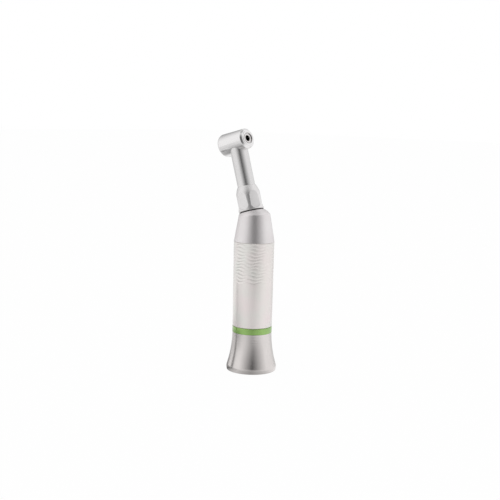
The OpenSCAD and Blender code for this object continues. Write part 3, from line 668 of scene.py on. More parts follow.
@dataclass(frozen=True)
class PearlLacquer(Finish):
    """White lacquer with fine mica, between paint and metal, under a thin clear coat.

    Its tint drifts between cool, cream and rose, and the rose thins out up the grip.
    """

    name: str = "pearl_lacquer"
    rose: Colour = linear(238, 227, 227)
    cream: Colour = linear(236, 232, 227)
    cool: Colour = linear(230, 231, 226)
    drift_cells: Span = (90.0, 60.0)
    cream_range: Span = (0.35, 0.6833)
    cloud_cells: Span = (170.0, 120.0)
    rose_range: Span = (0.3, 0.7)
    rose_end_mm: float = 28.0
    cream_start_mm: float = 42.0
    rose_kept: float = 0.6
    mica_cells: Span = (9000.0, 9000.0)
    mica_strength: float = 0.05
    mica_depth_mm: float = 0.004
    metallic: float = 0.48
    metallic_swing: float = 0.2
    roughness: float = 0.3
    cloud_swing: float = 0.05
    mica_swing: float = 0.08
    coat: float = 0.2
    coat_roughness: float = 0.15

    def surface(self, graph: Graph) -> Wire:
        """Half-metallic paint whose tint and gloss drift, with a sparkle of mica.

        Args:
            graph: The material's nodes.

        Returns:
            The lacquer's shader.
        """
        drift = graph.noise(Station.HANDLE, self.drift_cells, detail=2.0)
        clouds = graph.noise(Station.HANDLE, self.cloud_cells, detail=3.0)
        mica = graph.noise(Station.HANDLE, self.mica_cells, detail=1.0)
        height = graph.parts()[2].climb(self.rose_end_mm * MM, self.cream_start_mm * MM)
        rosy = clouds.climb(*self.rose_range) * (1 - height * (1 - self.rose_kept))
        tint = graph.blend(drift.climb(*self.cream_range), self.cool, self.cream)
        return graph.principled(
            Base_Color=graph.blend(rosy, tint, self.rose),
            Metallic=self.metallic + mica.swing(self.metallic_swing),
            Roughness=self.roughness + clouds.swing(self.cloud_swing) + mica.swing(self.mica_swing),
            Coat_Weight=self.coat,
            Coat_Roughness=self.coat_roughness,
            Normal=graph.bump(mica, self.mica_strength, self.mica_depth_mm),
        )


@dataclass(frozen=True)
class RatioEnamel(Finish):
    """Green anodised colour of the ring that marks the gearing."""

    name: str = "ratio_enamel"
    light: Colour = linear(150, 194, 96)
    shade: Colour = linear(124, 168, 74)
    line_cells: Span = (60.0, 4000.0)
    line_strength: float = 0.2
    line_depth_mm: float = 0.004
    cloud_cells: Span = (300.0, 300.0)
    metallic: float = 0.62
    roughness: float = 0.24
    line_swing: float = 0.08
    coat: float = 0.7
    coat_roughness: float = 0.08
    coat_ior: float = 1.9

    def surface(self, graph: Graph) -> Wire:
        """Dyed metal with fine lines round it, under a hard clear coat.

        Args:
            graph: The material's nodes.

        Returns:
            The enamel's shader.
        """
        lines = graph.noise(Station.HANDLE, self.line_cells, detail=2.0)
        clouds = graph.noise(Station.HANDLE, self.cloud_cells, detail=3.0)
        return graph.principled(
            Base_Color=graph.blend(clouds, self.light, self.shade),
            Metallic=self.metallic,
            Roughness=self.roughness + lines.swing(self.line_swing),
            Coat_Weight=self.coat,
            Coat_Roughness=self.coat_roughness,
            Coat_IOR=self.coat_ior,
            Normal=graph.bump(lines, self.line_strength, self.line_depth_mm),
        )


@dataclass(frozen=True)
class SealRubberGapShade(Finish):
    """Matt black rubber of the seal in the seam, whose black is also painted shade of the gap in the seam."""

    name: str = "seal_rubber_gap_shade"
    # The seal's black is its own colour and also painted shade of the seam's gap
    black: Colour = linear(16, 15, 15)
    dusty: Colour = linear(30, 29, 28)
    roughness: float = 0.55
    grain_cells: Span = (6000.0, 6000.0)
    grain_swing: float = 0.2
    grain_strength: float = 0.3
    grain_depth_mm: float = 0.01

    def surface(self, graph: Graph) -> Wire:
        """Rubber with a fine matt grain.

        Args:
            graph: The material's nodes.

        Returns:
            The rubber's shader.
        """
        grain = graph.noise(Station.HANDLE, self.grain_cells, detail=3.0)
        return graph.principled(
            Base_Color=graph.blend(grain, self.black, self.dusty),
            Roughness=self.roughness + grain.swing(self.grain_swing),
            Normal=graph.bump(grain, self.grain_strength, self.grain_depth_mm),
        )


@dataclass(frozen=True)
class InnerFinish(Finish):
    """What the inner pieces are made of, with a fine even grain."""

    light: Colour
    shade: Colour
    roughness: float
    metallic: float = 1.0
    grain_cells: Span = (4000.0, 4000.0)
    grain_swing: float = 0.12
    grain_strength: float = 0.15
    grain_depth_mm: float = 0.004
    cloud_cells: Span = (500.0, 500.0)

    def surface(self, graph: Graph) -> Wire:
        """Metal or resin with a fine grain and soft clouds.

        Args:
            graph: The material's nodes.

        Returns:
            The finish's shader.
        """
        grain = graph.noise(Station.HANDLE, self.grain_cells, detail=3.0)
        clouds = graph.noise(Station.HANDLE, self.cloud_cells, detail=2.0)
        return graph.principled(
            Base_Color=graph.blend(clouds, self.light, self.shade),
            Metallic=self.metallic,
            Roughness=self.roughness + grain.swing(self.grain_swing),
            Normal=graph.bump(grain, self.grain_strength, self.grain_depth_mm),
        )


def hand_over(piece: Piece, node: str, body: str, material: Material) -> None:
    """Gives a finished piece its finish and its body, in place of the node that it stands for.

    Args:
        piece: The piece.
        node: The node that it stands for.
        body: The body that it moves with.
        material: Its material.
    """
    piece.data.materials.clear()
    piece.data.materials.append(material)
    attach(piece, body)
    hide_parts(node)
    LOG.info("%s: %d faces, rides on %s", piece.name, len(piece.data.polygons), body)


@dataclass
class Handle:
    """The rear skirt, motor socket, colour ring and grip, all round the handle's axis, in millimetres."""

    # Skirt and its rim
    base_d: float = 20.0
    handle_d: float = 15.7
    skirt_h: float = 15.5
    rim_h: float = 1.8
    rim_round: float = 0.5
    rim_lean: float = 0.15
    rim_roll: float = 0.6
    flare_steps: int = 150
    roll_steps: int = 6
    skirt_edge: float = 0.08

    # Fine lines turned into the skirt below the ring
    line_count: int = 5
    line_pitch: float = 0.6
    line_width: float = 0.11
    line_depth: float = 0.013

    # Motor socket
    core_r: float = 7.0
    flange_d: float = 15.4
    flange_h: float = 2.4
    socket_d: float = 11.0
    socket_depth: float = 22.0
    socket_top: float = 27.0
    chamber_d: float = 7.2
    groove_z: float = 6.0
    groove_w: float = 1.4
    groove_depth: float = 0.35
    mouth_chamfer: float = 0.4
    socket_edge: float = 0.06

    # Colour ring
    ring_h: float = 2.4
    ring_proud: float = 0.06
    ring_edge: float = 0.16
    ring_edge_steps: int = 5

    # Grip
    grip_top_d: float = 16.1
    grip_h: float = 33.9
    grip_edge: float = 0.25
    grip_corner: float = 0.1

    # Wave grooves in the grip
    wave_rows: int = 12
    wave_pitch: float = 1.3
    wave_swing: float = 0.3
    wave_drift: float = 0.9
    waves_round: int = 8
    wave_width: float = 0.3
    wave_depth: float = 0.12
    wave_top_gap: float = 0.7
    wave_step: float = 0.12
    least_wave: float = 0.01

    def skirt(self) -> Piece:
        """Turns the flared skirt, with fine lines below the colour ring.

        Returns:
            The skirt.
        """
        base_r, handle_r = self.base_d / 2, self.handle_d / 2
        flare, flare_h = base_r - handle_r, self.skirt_h - self.rim_h
        flare_r = (flare**2 + flare_h**2) / (2 * flare)
        turn_deg = math.degrees(math.asin(flare_h / flare_r))
        bore_r, seat_r = self.core_r + FIT_GAP, self.flange_d / 2 + FIT_GAP
        rim_r = base_r - self.rim_lean
        flare_run = arc((handle_r + flare_r, self.skirt_h), flare_r, 180 + turn_deg, 180, self.flare_steps)
        roll_end = next(point for point in flare_run if point[1] > self.rim_h + self.rim_roll)
        roll_start = (base_r - self.rim_lean * self.rim_roll / self.rim_h, self.rim_h - self.rim_roll)
        lines = [self.skirt_h - self.line_pitch * (k + 1) for k in range(self.line_count)]
        body = [point for point in flare_run if point[1] > roll_end[1]]
        outline = [
            (seat_r, 0.0),
            *arc((rim_r - self.rim_round, self.rim_round), self.rim_round, -90, 0),
            *bend(roll_start, (base_r, self.rim_h), roll_end, self.roll_steps),
            *scored(body, lines, self.line_width, self.line_depth),
            (bore_r, self.skirt_h),
            (bore_r, self.flange_h + FIT_GAP),
            (seat_r, self.flange_h + FIT_GAP),
        ]
        return Bench.shell("rear_skirt_shell", outline, Station.HANDLE, self.skirt_edge, Bench.FINE_ROUND)

    def socket(self) -> Piece:
        """Turns the socket that takes the motor's nose.

        Returns:
            The socket.
        """
        bore_r, flange_r = self.socket_d / 2, self.flange_d / 2
        groove_r, groove_end = bore_r + self.groove_depth, self.groove_z + self.groove_w
        outline = stepped(
            (bore_r + self.mouth_chamfer, 0.0),
            flange_r, self.flange_h,
            self.core_r, self.socket_top,
            self.chamber_d / 2, self.socket_depth,
            bore_r, groove_end,
            groove_r, self.groove_z,
            bore_r, self.mouth_chamfer,
        )
        return Bench.shell("motor_socket_sleeve", outline, Station.HANDLE, self.socket_edge)

    def ratio_ring(self) -> Piece:
        """Turns the colour ring with its rounded edges.

        Returns:
            The ring.
        """
        outer_r, bore_r = self.handle_d / 2 + self.ring_proud, self.core_r + FIT_GAP
        outline = stepped((bore_r, self.skirt_h), outer_r, self.skirt_h + self.ring_h, bore_r)
        return Bench.shell("colour_ring", outline, Station.HANDLE, self.ring_edge, Bench.FINE_ROUND,
                           self.ring_edge_steps)

    def grip(self) -> Piece:
        """Turns the grip and presses the wave grooves into its upper part.

        Returns:
            The grip.
        """
        bore_r, low = self.core_r + FIT_GAP, self.skirt_h + self.ring_h
        high = low + self.grip_h
        foot_r, top_r = self.handle_d / 2, self.grip_top_d / 2
        wave_low = high - self.wave_top_gap - self.wave_rows * self.wave_pitch - self.wave_swing
        rows = int((high - self.grip_edge - wave_low) / self.wave_step)

        def side(z: float) -> Point:
            """The point of the sloping side at a height."""
            share = (z - low - self.grip_edge) / (self.grip_h - 2 * self.grip_edge)
            return (foot_r + (top_r - foot_r) * share, z)

        edges = [(bore_r, low), (foot_r - self.grip_edge, low), (foot_r, low + self.grip_edge)]
        top = [(top_r, high - self.grip_edge), (top_r - self.grip_edge, high), (bore_r, high)]
        outline = [*edges, *[side(wave_low + self.wave_step * k) for k in range(rows)], *top]
        rounded = soft_corners(outline, self.grip_corner)
        piece = Bench.turn("grip_shell", rounded, Station.HANDLE, Bench.FINEST_ROUND)
        self._press_waves(piece, high)
        Bench.smooth(piece)
        return piece

    def _press_waves(self, piece: Piece, high: float) -> None:
        """Presses rows of waves into the grip; each row starts a little later round it than the one above.

        Args:
            piece: The grip.
            high: Height of the grip's top.
        """
        first = high - self.wave_top_gap - self.wave_swing
        skin_r = (self.core_r + self.handle_d / 2) / 2
        group = piece.vertex_groups.new(name="waves")
        for vertex in piece.data.vertices:
            across, away, z = vertex.co / MM
            if math.hypot(across, away) < skin_r:
                continue
            turn = self.waves_round * math.atan2(away, across)
            weight = 0.0
            for row in range(self.wave_rows):
                swing = self.wave_swing * math.cos(turn + self.wave_drift * row)
                above = z - (first - row * self.wave_pitch + swing)
                weight = max(weight, math.exp(-((above / self.wave_width) ** 2)))
            if weight > self.least_wave:
                group.add([vertex.index], weight, "REPLACE")
        Bench.apply(piece, "DISPLACE", vertex_group="waves", direction="NORMAL", mid_level=0.0,
                    strength=-self.wave_depth * MM)

    def build(self, skirt_finish: TurnedSteel, socket_finish: TurnedSteel) -> None:
        """Makes the handle's pieces and dresses them.

        Args:
            skirt_finish: Finish of the skirt.
            socket_finish: Finish of the socket.
        """
        hand_over(self.skirt(), "rear_skirt", "handpiece", skirt_finish.material())
        hand_over(self.socket(), "coupling_socket", "handpiece", socket_finish.material())
        hand_over(self.ratio_ring(), "ratio_ring", "handpiece", RatioEnamel().material())
        hand_over(self.grip(), "grip_sleeve", "handpiece", PearlLacquer().material())


@dataclass
class FrontEnd:
    """The front sleeve, the seal in its seam, the collar and the neck, in millimetres.

    A name that ends in _s is a place along the neck's axis, counted from the bend.
    """

    # Front sleeve
    grip_top_z: float = 51.8
    grip_top_d: float = 16.1
    cone_top_d: float = 12.8
    cone_h: float = 9.6
    cone_steps: int = 72
    foot_edge: float = 0.1
    seam_s: float = 5.4
    seam_d: float = 10.5
    shoulder_deg: float = 44.0
    crease_round: float = 1.4
    least_round: float = 1e-6
    core_r: float = 7.0
    stack_top_z: float = 43.9
    bay_d: float = 7.1
    spigot_d: float = 8.2
    spigot_h: float = 3.4
    overlap: float = 1.0
    knee_deg: float = 85.0
    knee_steps: int = 17
    knee_tip_r: float = 0.1775

    # Seal in the seam
    seal_h: float = 0.45
    seal_d: float = 9.7
    seal_edge: float = 0.15

    # Collar
    collar_h: float = 9.9
    collar_foot_d: float = 10.2
    collar_belly_d: float = 9.9
    collar_top_d: float = 7.5
    collar_shoulder_h: float = 4.5
    collar_edge: float = 0.25
    collar_corner: float = 0.1
    collar_steps: int = 24

    # Flats of the collar
    collar_flats: float = 9.3
    flat_count: int = 6
    flat_rise: float = 0.5
    flat_turn_deg: float = 7.5
    flat_cutter_d: float = 4.4
    flat_crown_r: float = 40.0
    crown_h: float = 39.6
    flat_dip: float = 0.3
    cutter_sides: int = 64
    crown_sides: int = 720

    # Neck, with its bearing housing and the saddle under the head
    neck_d: float = 7.0
    neck_bore_d: float = 5.6
    neck_top_s: float = 32.3
    neck_edge: float = 0.05
    housing_d: float = 8.1
    housing_s: float = 8.8
    housing_top_s: float = 13.1
    nut_d: float = 6.8
    nut_h: float = 0.8
    bearing_d: float = 6.0
    bearing_w: float = 2.5
    head_bore_d: float = 6.3
    saddle_half: float = 10.0

    def sleeve(self) -> Piece:
        """Makes the cone that bends the handle into the neck, with its slanted shoulder, plug and spigot.

        Returns:
            The sleeve.
        """
        taper = (self.grip_top_d - self.cone_top_d) / 2 / self.cone_h
        base_r, low, over = self.grip_top_d / 2, self.grip_top_z, self.overlap
        blank_h = BEND_Z + self.seam_s + self.seam_d / 4 - low
        rises = steps_between(self.foot_edge, blank_h, self.cone_steps)
        outline = [(base_r - self.foot_edge, low), *[(base_r - taper * rise, low + rise) for rise in rises]]
        piece = Bench.turn("front_cone", outline, Station.HANDLE, Bench.FINE_ROUND, solid=True)
        self._slope_shoulder(piece)
        drop = self.grip_top_d
        Bench.carve_round(piece, rod(drop, self.seam_s - drop, self.seam_s), Station.NECK, Cut.COMMON)
        bay_r, spigot_top = self.bay_d / 2, self.seam_s + self.spigot_h
        Bench.carve_round(piece, rod(self.core_r, self.stack_top_z, low + over), Station.HANDLE, Cut.JOINED)
        Bench.carve_round(piece, rod(self.spigot_d / 2, 0.0, spigot_top), Station.NECK, Cut.JOINED)
        Bench.carve_round(piece, rod(bay_r, self.stack_top_z - over, BEND_Z), Station.HANDLE, Cut.AWAY)
        knee = arc((0.0, 0.0), bay_r, -self.knee_deg, self.knee_deg, self.knee_steps)
        Bench.carve_round(piece, [*knee, (self.knee_tip_r, spigot_top + over)], Station.NECK, Cut.AWAY)
        Bench.carve_round(piece, rod(bay_r, 0.0, spigot_top + over), Station.NECK, Cut.AWAY)
        Bench.close(piece)
        Bench.smooth(piece, Bench.CARVED_SHADE_DEG)
        return piece

    def _slope_shoulder(self, piece: Piece) -> None:
        """Draws the cone in to the slanted shoulder, with a round crease that fades out under the neck's lean.

        Args:
            piece: The plain cone.
        """
        for vertex in piece.data.vertices:
            x, y, z = vertex.co / MM
            cone_r = math.hypot(x, y)
            shoulder_r = self._shoulder_radius(x / cone_r, z - BEND_Z)
            soft = max(self.crease_round * (1 + x / cone_r) / 2, self.least_round)
            near = max(soft - abs(cone_r - shoulder_r), 0.0) / soft
            drawn_r = min(cone_r, shoulder_r) - near**2 * soft / 4
            vertex.co.xy *= drawn_r / cone_r

    def _shoulder_radius(self, towards_x: float, rise: float) -> float:
        """How far from the handle's axis the shoulder's slope lies.

        Args:
            towards_x: Cosine of the direction round the handle.
            rise: Height above the bend.

        Returns:
            The distance at which a level line in that direction meets the slope.
        """
        lean, slope = math.radians(NECK_LEAN_DEG), math.tan(math.radians(self.shoulder_deg))
        gain, start = -math.sin(lean) * towards_x, math.cos(lean) * rise
        reach = self.seam_d / 2 + slope * (self.seam_s - start)
        square = 1 - gain**2 * (1 + slope**2)
        half = gain * (slope * reach - start)
        rest = rise**2 - start**2 - reach**2
        return (math.sqrt(half**2 - square * rest) - half) / square

    def seal(self) -> Piece:
        """Turns the dark seal in the seam, which also stands in for the shadow in the seam's gap.

        Returns:
            The seal.
        """
        inner_r, outer_r = self.spigot_d / 2 + FIT_GAP, self.seal_d / 2
        outline = stepped((inner_r, self.seam_s), outer_r, self.seam_s + self.seal_h, inner_r)
        return Bench.shell("seam_seal_gap_shade", outline, Station.NECK, self.seal_edge)

    def collar_radius(self, rise: float) -> float:
        """The collar's radius at a height above its foot.

        Args:
            rise: The height.

        Returns:
            The radius.
        """
        depth = self.collar_h - rise
        belly_r, top_r = self.collar_belly_d / 2, self.collar_top_d / 2
        if depth < self.collar_shoulder_h:
            return top_r + (belly_r - top_r) * math.sin(math.pi / 2 * depth / self.collar_shoulder_h)
        share = (depth - self.collar_shoulder_h) / (self.collar_h - self.collar_shoulder_h)
        return belly_r + (self.collar_foot_d / 2 - belly_r) * share

    def collar(self) -> Piece:
        """Turns the barrel collar and mills its flats.

        Returns:
            The collar.
        """
        start = self.seam_s + self.seal_h
        bore_r, neck_r = self.spigot_d / 2 + FIT_GAP, self.neck_d / 2 + FIT_GAP
        roof = self.housing_top_s + FIT_GAP
        swell = steps_between(self.collar_edge, self.collar_h, self.collar_steps)
        outline = [
            (bore_r, start),
            (self.collar_foot_d / 2 - self.collar_edge, start),
            *[(self.collar_radius(rise), start + rise) for rise in swell],
            (neck_r, start + self.collar_h),
            (neck_r, roof),
            (bore_r, roof),
        ]
        rounded = soft_corners(outline, self.collar_corner)
        piece = Bench.turn("neck_collar_shell", rounded, Station.NECK, Bench.FINE_ROUND)
        tool = self._flat_tool(start)
        for k in range(self.flat_count):
            cutter = Bench.copied(tool, math.radians(360 * (k + 0.5) / self.flat_count + self.flat_turn_deg))
            Bench.settle(cutter, Station.NECK)
            Bench.carve(piece, cutter, Cut.AWAY)
        bpy.data.objects.remove(tool)
        Bench.close(piece)
        Bench.smooth(piece, Bench.CARVED_SHADE_DEG)
        Bench.apply(piece, "WEIGHTED_NORMAL", keep_sharp=True)
        return piece

    def _flat_tool(self, start: float) -> Piece:
        """Makes the round-ended cutter of the flats, hollowed a little so that a flat comes out crowned.

        Args:
            start: Place of the collar's foot along the neck.

        Returns:
            The cutter, beside the Z axis.
        """
        Bench.clear()
        depth = self.collar_foot_d / 2
        middle = self.collar_flats / 2 + depth / 2 - self.flat_dip
        rise = start + self.flat_rise + self.flat_cutter_d / 2
        bpy.ops.mesh.primitive_cylinder_add(
            vertices=self.cutter_sides,
            radius=self.flat_cutter_d / 2 * MM,
            depth=depth * MM,
            location=(middle * MM, 0, rise * MM),
            rotation=(0, math.pi / 2, 0),
        )
        tool = Bench.fresh("flat_tool")
        bpy.ops.object.transform_apply(location=True, rotation=True, scale=True)
        just_above = (rise + FIT_GAP) * MM
        Bench.choose(tool, [vertex.index for vertex in tool.data.vertices if vertex.co.z > just_above])
        bpy.ops.transform.translate(value=(0, 0, self.collar_h * MM))
        Bench.clear()
        bpy.ops.mesh.primitive_cylinder_add(
            vertices=self.crown_sides,
            radius=self.flat_crown_r * MM,
            depth=self.crown_h * MM,
            location=((self.collar_flats / 2 - self.flat_crown_r) * MM, 0, rise * MM),
        )
        Bench.carve(tool, Bench.fresh("crown_tool"), Cut.AWAY)
        return tool

    def neck(self) -> Piece:
        """Turns the neck with the bearing housing at its foot, and saddles it under the head.

        Returns:
            The neck.
        """
        housing_r, neck_r, bore_r = self.housing_d / 2, self.neck_d / 2, self.neck_bore_d / 2
        nut_r, bearing_r = self.nut_d / 2 + FIT_GAP, self.bearing_d / 2 + FIT_GAP
        nut_s = self.housing_s + self.nut_h
        bearing_s = nut_s + self.bearing_w
        outline = stepped(
            (nut_r, self.housing_s),
            housing_r, self.housing_top_s,
            neck_r, self.neck_top_s,
            bore_r, bearing_s,
            bearing_r, nut_s,
            nut_r,
        )
        piece = Bench.turn("neck_shell", soft_corners(outline, self.neck_edge), Station.NECK)
        saddle_r, half = self.head_bore_d / 2 + FIT_GAP, self.saddle_half
        Bench.carve_round(piece, rod(saddle_r, -half, half), Station.HEAD, Cut.AWAY, Bench.ROUND)
        Bench.close(piece)
        Bench.smooth(piece)
        return piece

    def build(self, cone_finish: TurnedSteel, collar_finish: TurnedSteel, neck_finish: TurnedSteel) -> None:
        """Makes the front end's pieces and dresses them.

        Args:
            cone_finish: Finish of the sleeve.
            collar_finish: Finish of the collar.
            neck_finish: Finish of the neck.
        """
        hand_over(self.sleeve(), "front_sleeve", "handpiece", cone_finish.material())
        hand_over(self.seal(), "collar_seal", "handpiece", SealRubberGapShade().material())
        hand_over(self.collar(), "neck_collar", "handpiece", collar_finish.material())
        hand_over(self.neck(), "neck_tube", "handpiece", neck_finish.material())


@dataclass
class Head:
    """The head with its mouth, back cap, push button and bur spindle, in millimetres.

    Places along the head's axis are counted from the neck's axis, towards the nose.
    """

    # Shell and nose
    head_d: float = 9.3
    bore_d: float = 6.3
    front: float = 6.1
    back: float = -6.02
    rear_seat: float = -5.32
    thread_d: float = 6.96
    nose_d: float = 8.1
    nose_edge: float = 0.5
    nose_facet: float = 0.45
    nose_steps: int = 4
    lip_d: float = 6.0
    lip_t: float = 0.8
    lip_round: float = 0.25
    lip_steps: int = 6
    mouth_d: float = 4.4
    mouth_round: float = 0.25
    neck_d: float = 7.0
    neck_top_drop: float = 1.6
    shell_corner: float = 0.1

    # Shield behind the mouth
    shield_t: float = 0.2
    shield_d: float = 6.26
    shield_bore_d: float = 3.9
    shield_edge: float = 0.05

    # Back cap
    cap_d: float = 9.1
    cap_h: float = 1.0
    cap_round: float = 0.9
    cap_steps: int = 12
    cap_bore_d: float = 5.9
    cap_lip_t: float = 0.5
    cap_edge: float = 0.06

    # Push button
    button_d: float = 4.9
    button_proud: float = 0.7
    button_crown: float = 0.4
    button_wall: float = 0.35
    button_flange_t: float = 0.3
    button_rim: float = 0.08
    button_edge: float = 0.03
    button_edge_deg: float = 40.0
    dome_end_deg: float = 0.5
    dome_steps: int = 12
    post_d: float = 1.6
    post_end: float = -5.52
    slide_gap: float = 0.05

    # Bur spindle
    spindle_d: float = 3.18
    spindle_nose_d: float = 3.5
    spindle_inset: float = 0.35
    spindle_tail: float = -5.42
    spindle_edge: float = 0.05
    shank_d: float = 2.37
    shank_chamfer: float = 0.15
    shank_depth: float = 7.9
    clip_groove_w: float = 0.45
    clip_groove_d: float = 2.78
    plunger_hole_d: float = 1.5
    plunger_bore_d: float = 2.0
    plunger_stop: float = -3.77

    def shell(self) -> Piece:
        """Turns the head with its nose, and opens it for the neck.

        Returns:
            The head's shell.
        """
        lip_r, thread_r, bore_r = self.lip_d / 2, self.thread_d / 2 + FIT_GAP, self.bore_d / 2
        lip_back, mouth_r = self.front - self.lip_round, self.mouth_d / 2 + self.mouth_round
        edge_r, edge_back = self.nose_d / 2 - self.nose_edge, lip_back - self.nose_edge
        outline = [
            (thread_r, self.back),
            (self.head_d / 2, self.back),
            *arc((edge_r, edge_back - self.nose_facet), self.nose_edge, 0, 45, self.nose_steps),
            *arc((edge_r - self.nose_facet, edge_back), self.nose_edge, 45, 90, self.nose_steps),
            *arc((lip_r - self.lip_round, lip_back), self.lip_round, 0, 90, self.lip_steps),
            *arc((mouth_r, self.front - self.mouth_round), self.mouth_round, 90, 180, self.lip_steps),
            (self.mouth_d / 2, self.front - self.lip_t),
            (bore_r, self.front - self.lip_t),
            (bore_r, self.rear_seat),
            (thread_r, self.rear_seat),
        ]
        rounded = soft_corners(outline, self.shell_corner)
        piece = Bench.turn("head_housing", rounded, Station.HEAD, Bench.FINE_ROUND)
        neck_r, top = self.neck_d / 2 + FIT_GAP, HEAD_REACH - self.neck_top_drop
        Bench.carve_round(piece, rod(neck_r, top - self.head_d, top), Station.NECK, Cut.AWAY, Bench.ROUND)
        Bench.close(piece)
        Bench.smooth(piece)
        return piece

    def shield(self) -> Piece:
        """Turns the bearing's shield behind the mouth.

        Returns:
            The shield.
        """
        inner_r, front = self.shield_bore_d / 2, self.front - self.lip_t
        outline = stepped((inner_r, front - self.shield_t), self.shield_d / 2, front, inner_r)
        return Bench.shell("mouth_shield", outline, Station.HEAD, self.shield_edge)

    def cap(self) -> Piece:
        """Turns the back cap with its rounded edge.

        Returns:
            The cap.
        """
        cap_r, bore_r, thread_r = self.cap_d / 2, self.cap_bore_d / 2, self.thread_d / 2
        cap_back, button_r = self.back - self.cap_h, self.button_d / 2 + self.slide_gap
        lip = cap_back + self.cap_lip_t
        outline = [
            (bore_r, self.rear_seat),
            (thread_r, self.rear_seat),
            (thread_r, self.back),
            (cap_r, self.back),
            *arc((cap_r - self.cap_round, cap_back + self.cap_round), self.cap_round, 0, -90, self.cap_steps),
            (button_r, cap_back),
            (button_r, lip),
            (bore_r, lip),
        ]
        return Bench.shell("back_cap_shell", outline, Station.HEAD, self.cap_edge, Bench.FINE_ROUND)

    def button(self) -> Piece:
        """Turns the domed push button with its flange and post.

        Returns:
            The button.
        """
        dome_r, flange_r = self.button_d / 2, self.cap_bore_d / 2 - self.slide_gap
        cap_back = self.back - self.cap_h
        lip = cap_back + self.cap_lip_t
        front = lip + self.button_flange_t
        edge = cap_back - self.button_proud + self.button_crown
        floor = edge + self.button_wall
        crown_r = (dome_r**2 + self.button_crown**2) / (2 * self.button_crown)
        turn_deg = math.degrees(math.asin(dome_r / crown_r))
        centre = (0.0, edge - self.button_crown + crown_r)
        dome = arc(centre, crown_r, -90 + turn_deg, -90 + self.dome_end_deg, self.dome_steps)
        hollow_r = dome_r - self.button_wall
        outline = [
            (self.post_d / 2, self.post_end),
            (self.post_d / 2, floor),
            (hollow_r, floor),
            (hollow_r, front),
            (flange_r, front),
            (flange_r, lip + FIT_GAP),
            (dome_r, lip + FIT_GAP),
            (dome_r, edge + self.button_rim),
            *[(r, z) for r, z in dome if r < dome_r - self.button_rim],
        ]
        piece = Bench.turn("push_button_dome", outline, Station.HEAD, solid=True)
        Bench.soften(piece, self.button_edge, self.button_edge_deg)
        Bench.smooth(piece)
        return piece

    def spindle(self) -> Piece:
        """Turns the bur spindle with its shank bore, clip groove and plunger hole.

        Returns:
            The spindle.
        """
        nose, body_r, nose_r = self.front - self.spindle_inset, self.spindle_d / 2, self.spindle_nose_d / 2
        shank_r, groove_r = self.shank_d / 2, self.clip_groove_d / 2
        hole_r, plunger_r = self.plunger_hole_d / 2, self.plunger_bore_d / 2
        shoulder = self.front - self.lip_t - self.shield_t
        shank_end = nose - self.shank_chamfer - self.shank_depth
        groove_back = shank_end - self.clip_groove_w
        outline = stepped(
            (shank_r + self.shank_chamfer, nose),
            nose_r, shoulder,
            body_r, self.spindle_tail,
            plunger_r, self.plunger_stop,
            hole_r, groove_back,
            groove_r, shank_end,
            shank_r, nose - self.shank_chamfer,
        )
        return Bench.shell("bur_spindle", outline, Station.HEAD, self.spindle_edge, Bench.SMALL_ROUND)

    def build(self, head_finish: TurnedSteel, cap_finish: TurnedSteel, bright_finish: TurnedSteel) -> None:
        """Makes the head's pieces and dresses them.

        Args:
            head_finish: Finish of the head's shell.
            cap_finish: Finish of the shield and the cap.
            bright_finish: Finish of the button and the spindle.
        """
        bright, cap = bright_finish.material(), cap_finish.material()
        hand_over(self.shell(), "head_shell", "handpiece", head_finish.material())
        hand_over(self.shield(), "front_shield", "handpiece", cap)
        hand_over(self.cap(), "back_cap", "handpiece", cap)
        hand_over(self.button(), "push_button", "button", bright)
        hand_over(self.spindle(), "chuck_spindle", "spindle", bright)


@dataclass(frozen=True)
class Spring:
    """A wire spring that rides on the body of its slide."""

    name: str
    node: str
    body: str
    joint: str
    station: Station
    mean_d: float
    wire_d: float
    span: Span
    turns: int
    travel: float
    wire_sides: int = 14
    steps_per_turn: int = 36
    shade_deg: float = 60.0

    def wind(self) -> Piece:
        """Winds the wire along its axis and closes its two ends.

        Returns:
            The spring.
        """
        Bench.clear()
        low, high = self.span
        bpy.ops.mesh.primitive_circle_add(
            vertices=self.wire_sides,
            radius=self.wire_d / 2 * MM,
            location=(self.mean_d / 2 * MM, 0, (low + self.wire_d / 2) * MM),
            rotation=(math.pi / 2, 0, 0),
        )
        piece = Bench.fresh(self.name)
        bpy.ops.object.transform_apply(location=True, rotation=True, scale=True)
        steps, climb = self.steps_per_turn * self.turns, (high - low - self.wire_d) * MM
        Bench.apply(piece, "SCREW", angle=2 * math.pi * self.turns, screw_offset=climb, steps=steps,
                    render_steps=steps, axis="Z")
        bpy.ops.object.mode_set(mode="EDIT")
        bpy.ops.mesh.select_all(action="SELECT")
        bpy.ops.mesh.fill_holes(sides=0)
        Bench.close(piece)
        Bench.settle(piece, self.station)
        Bench.smooth(piece, self.shade_deg)
        return piece

    def build(self, wire: Material) -> None:
        """Makes the spring and hands it to the body of its slide.

        Args:
            wire: The wire's material.
        """
        piece = self.wind()
        hand_over(piece, self.node, self.body, wire)
        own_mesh(piece)


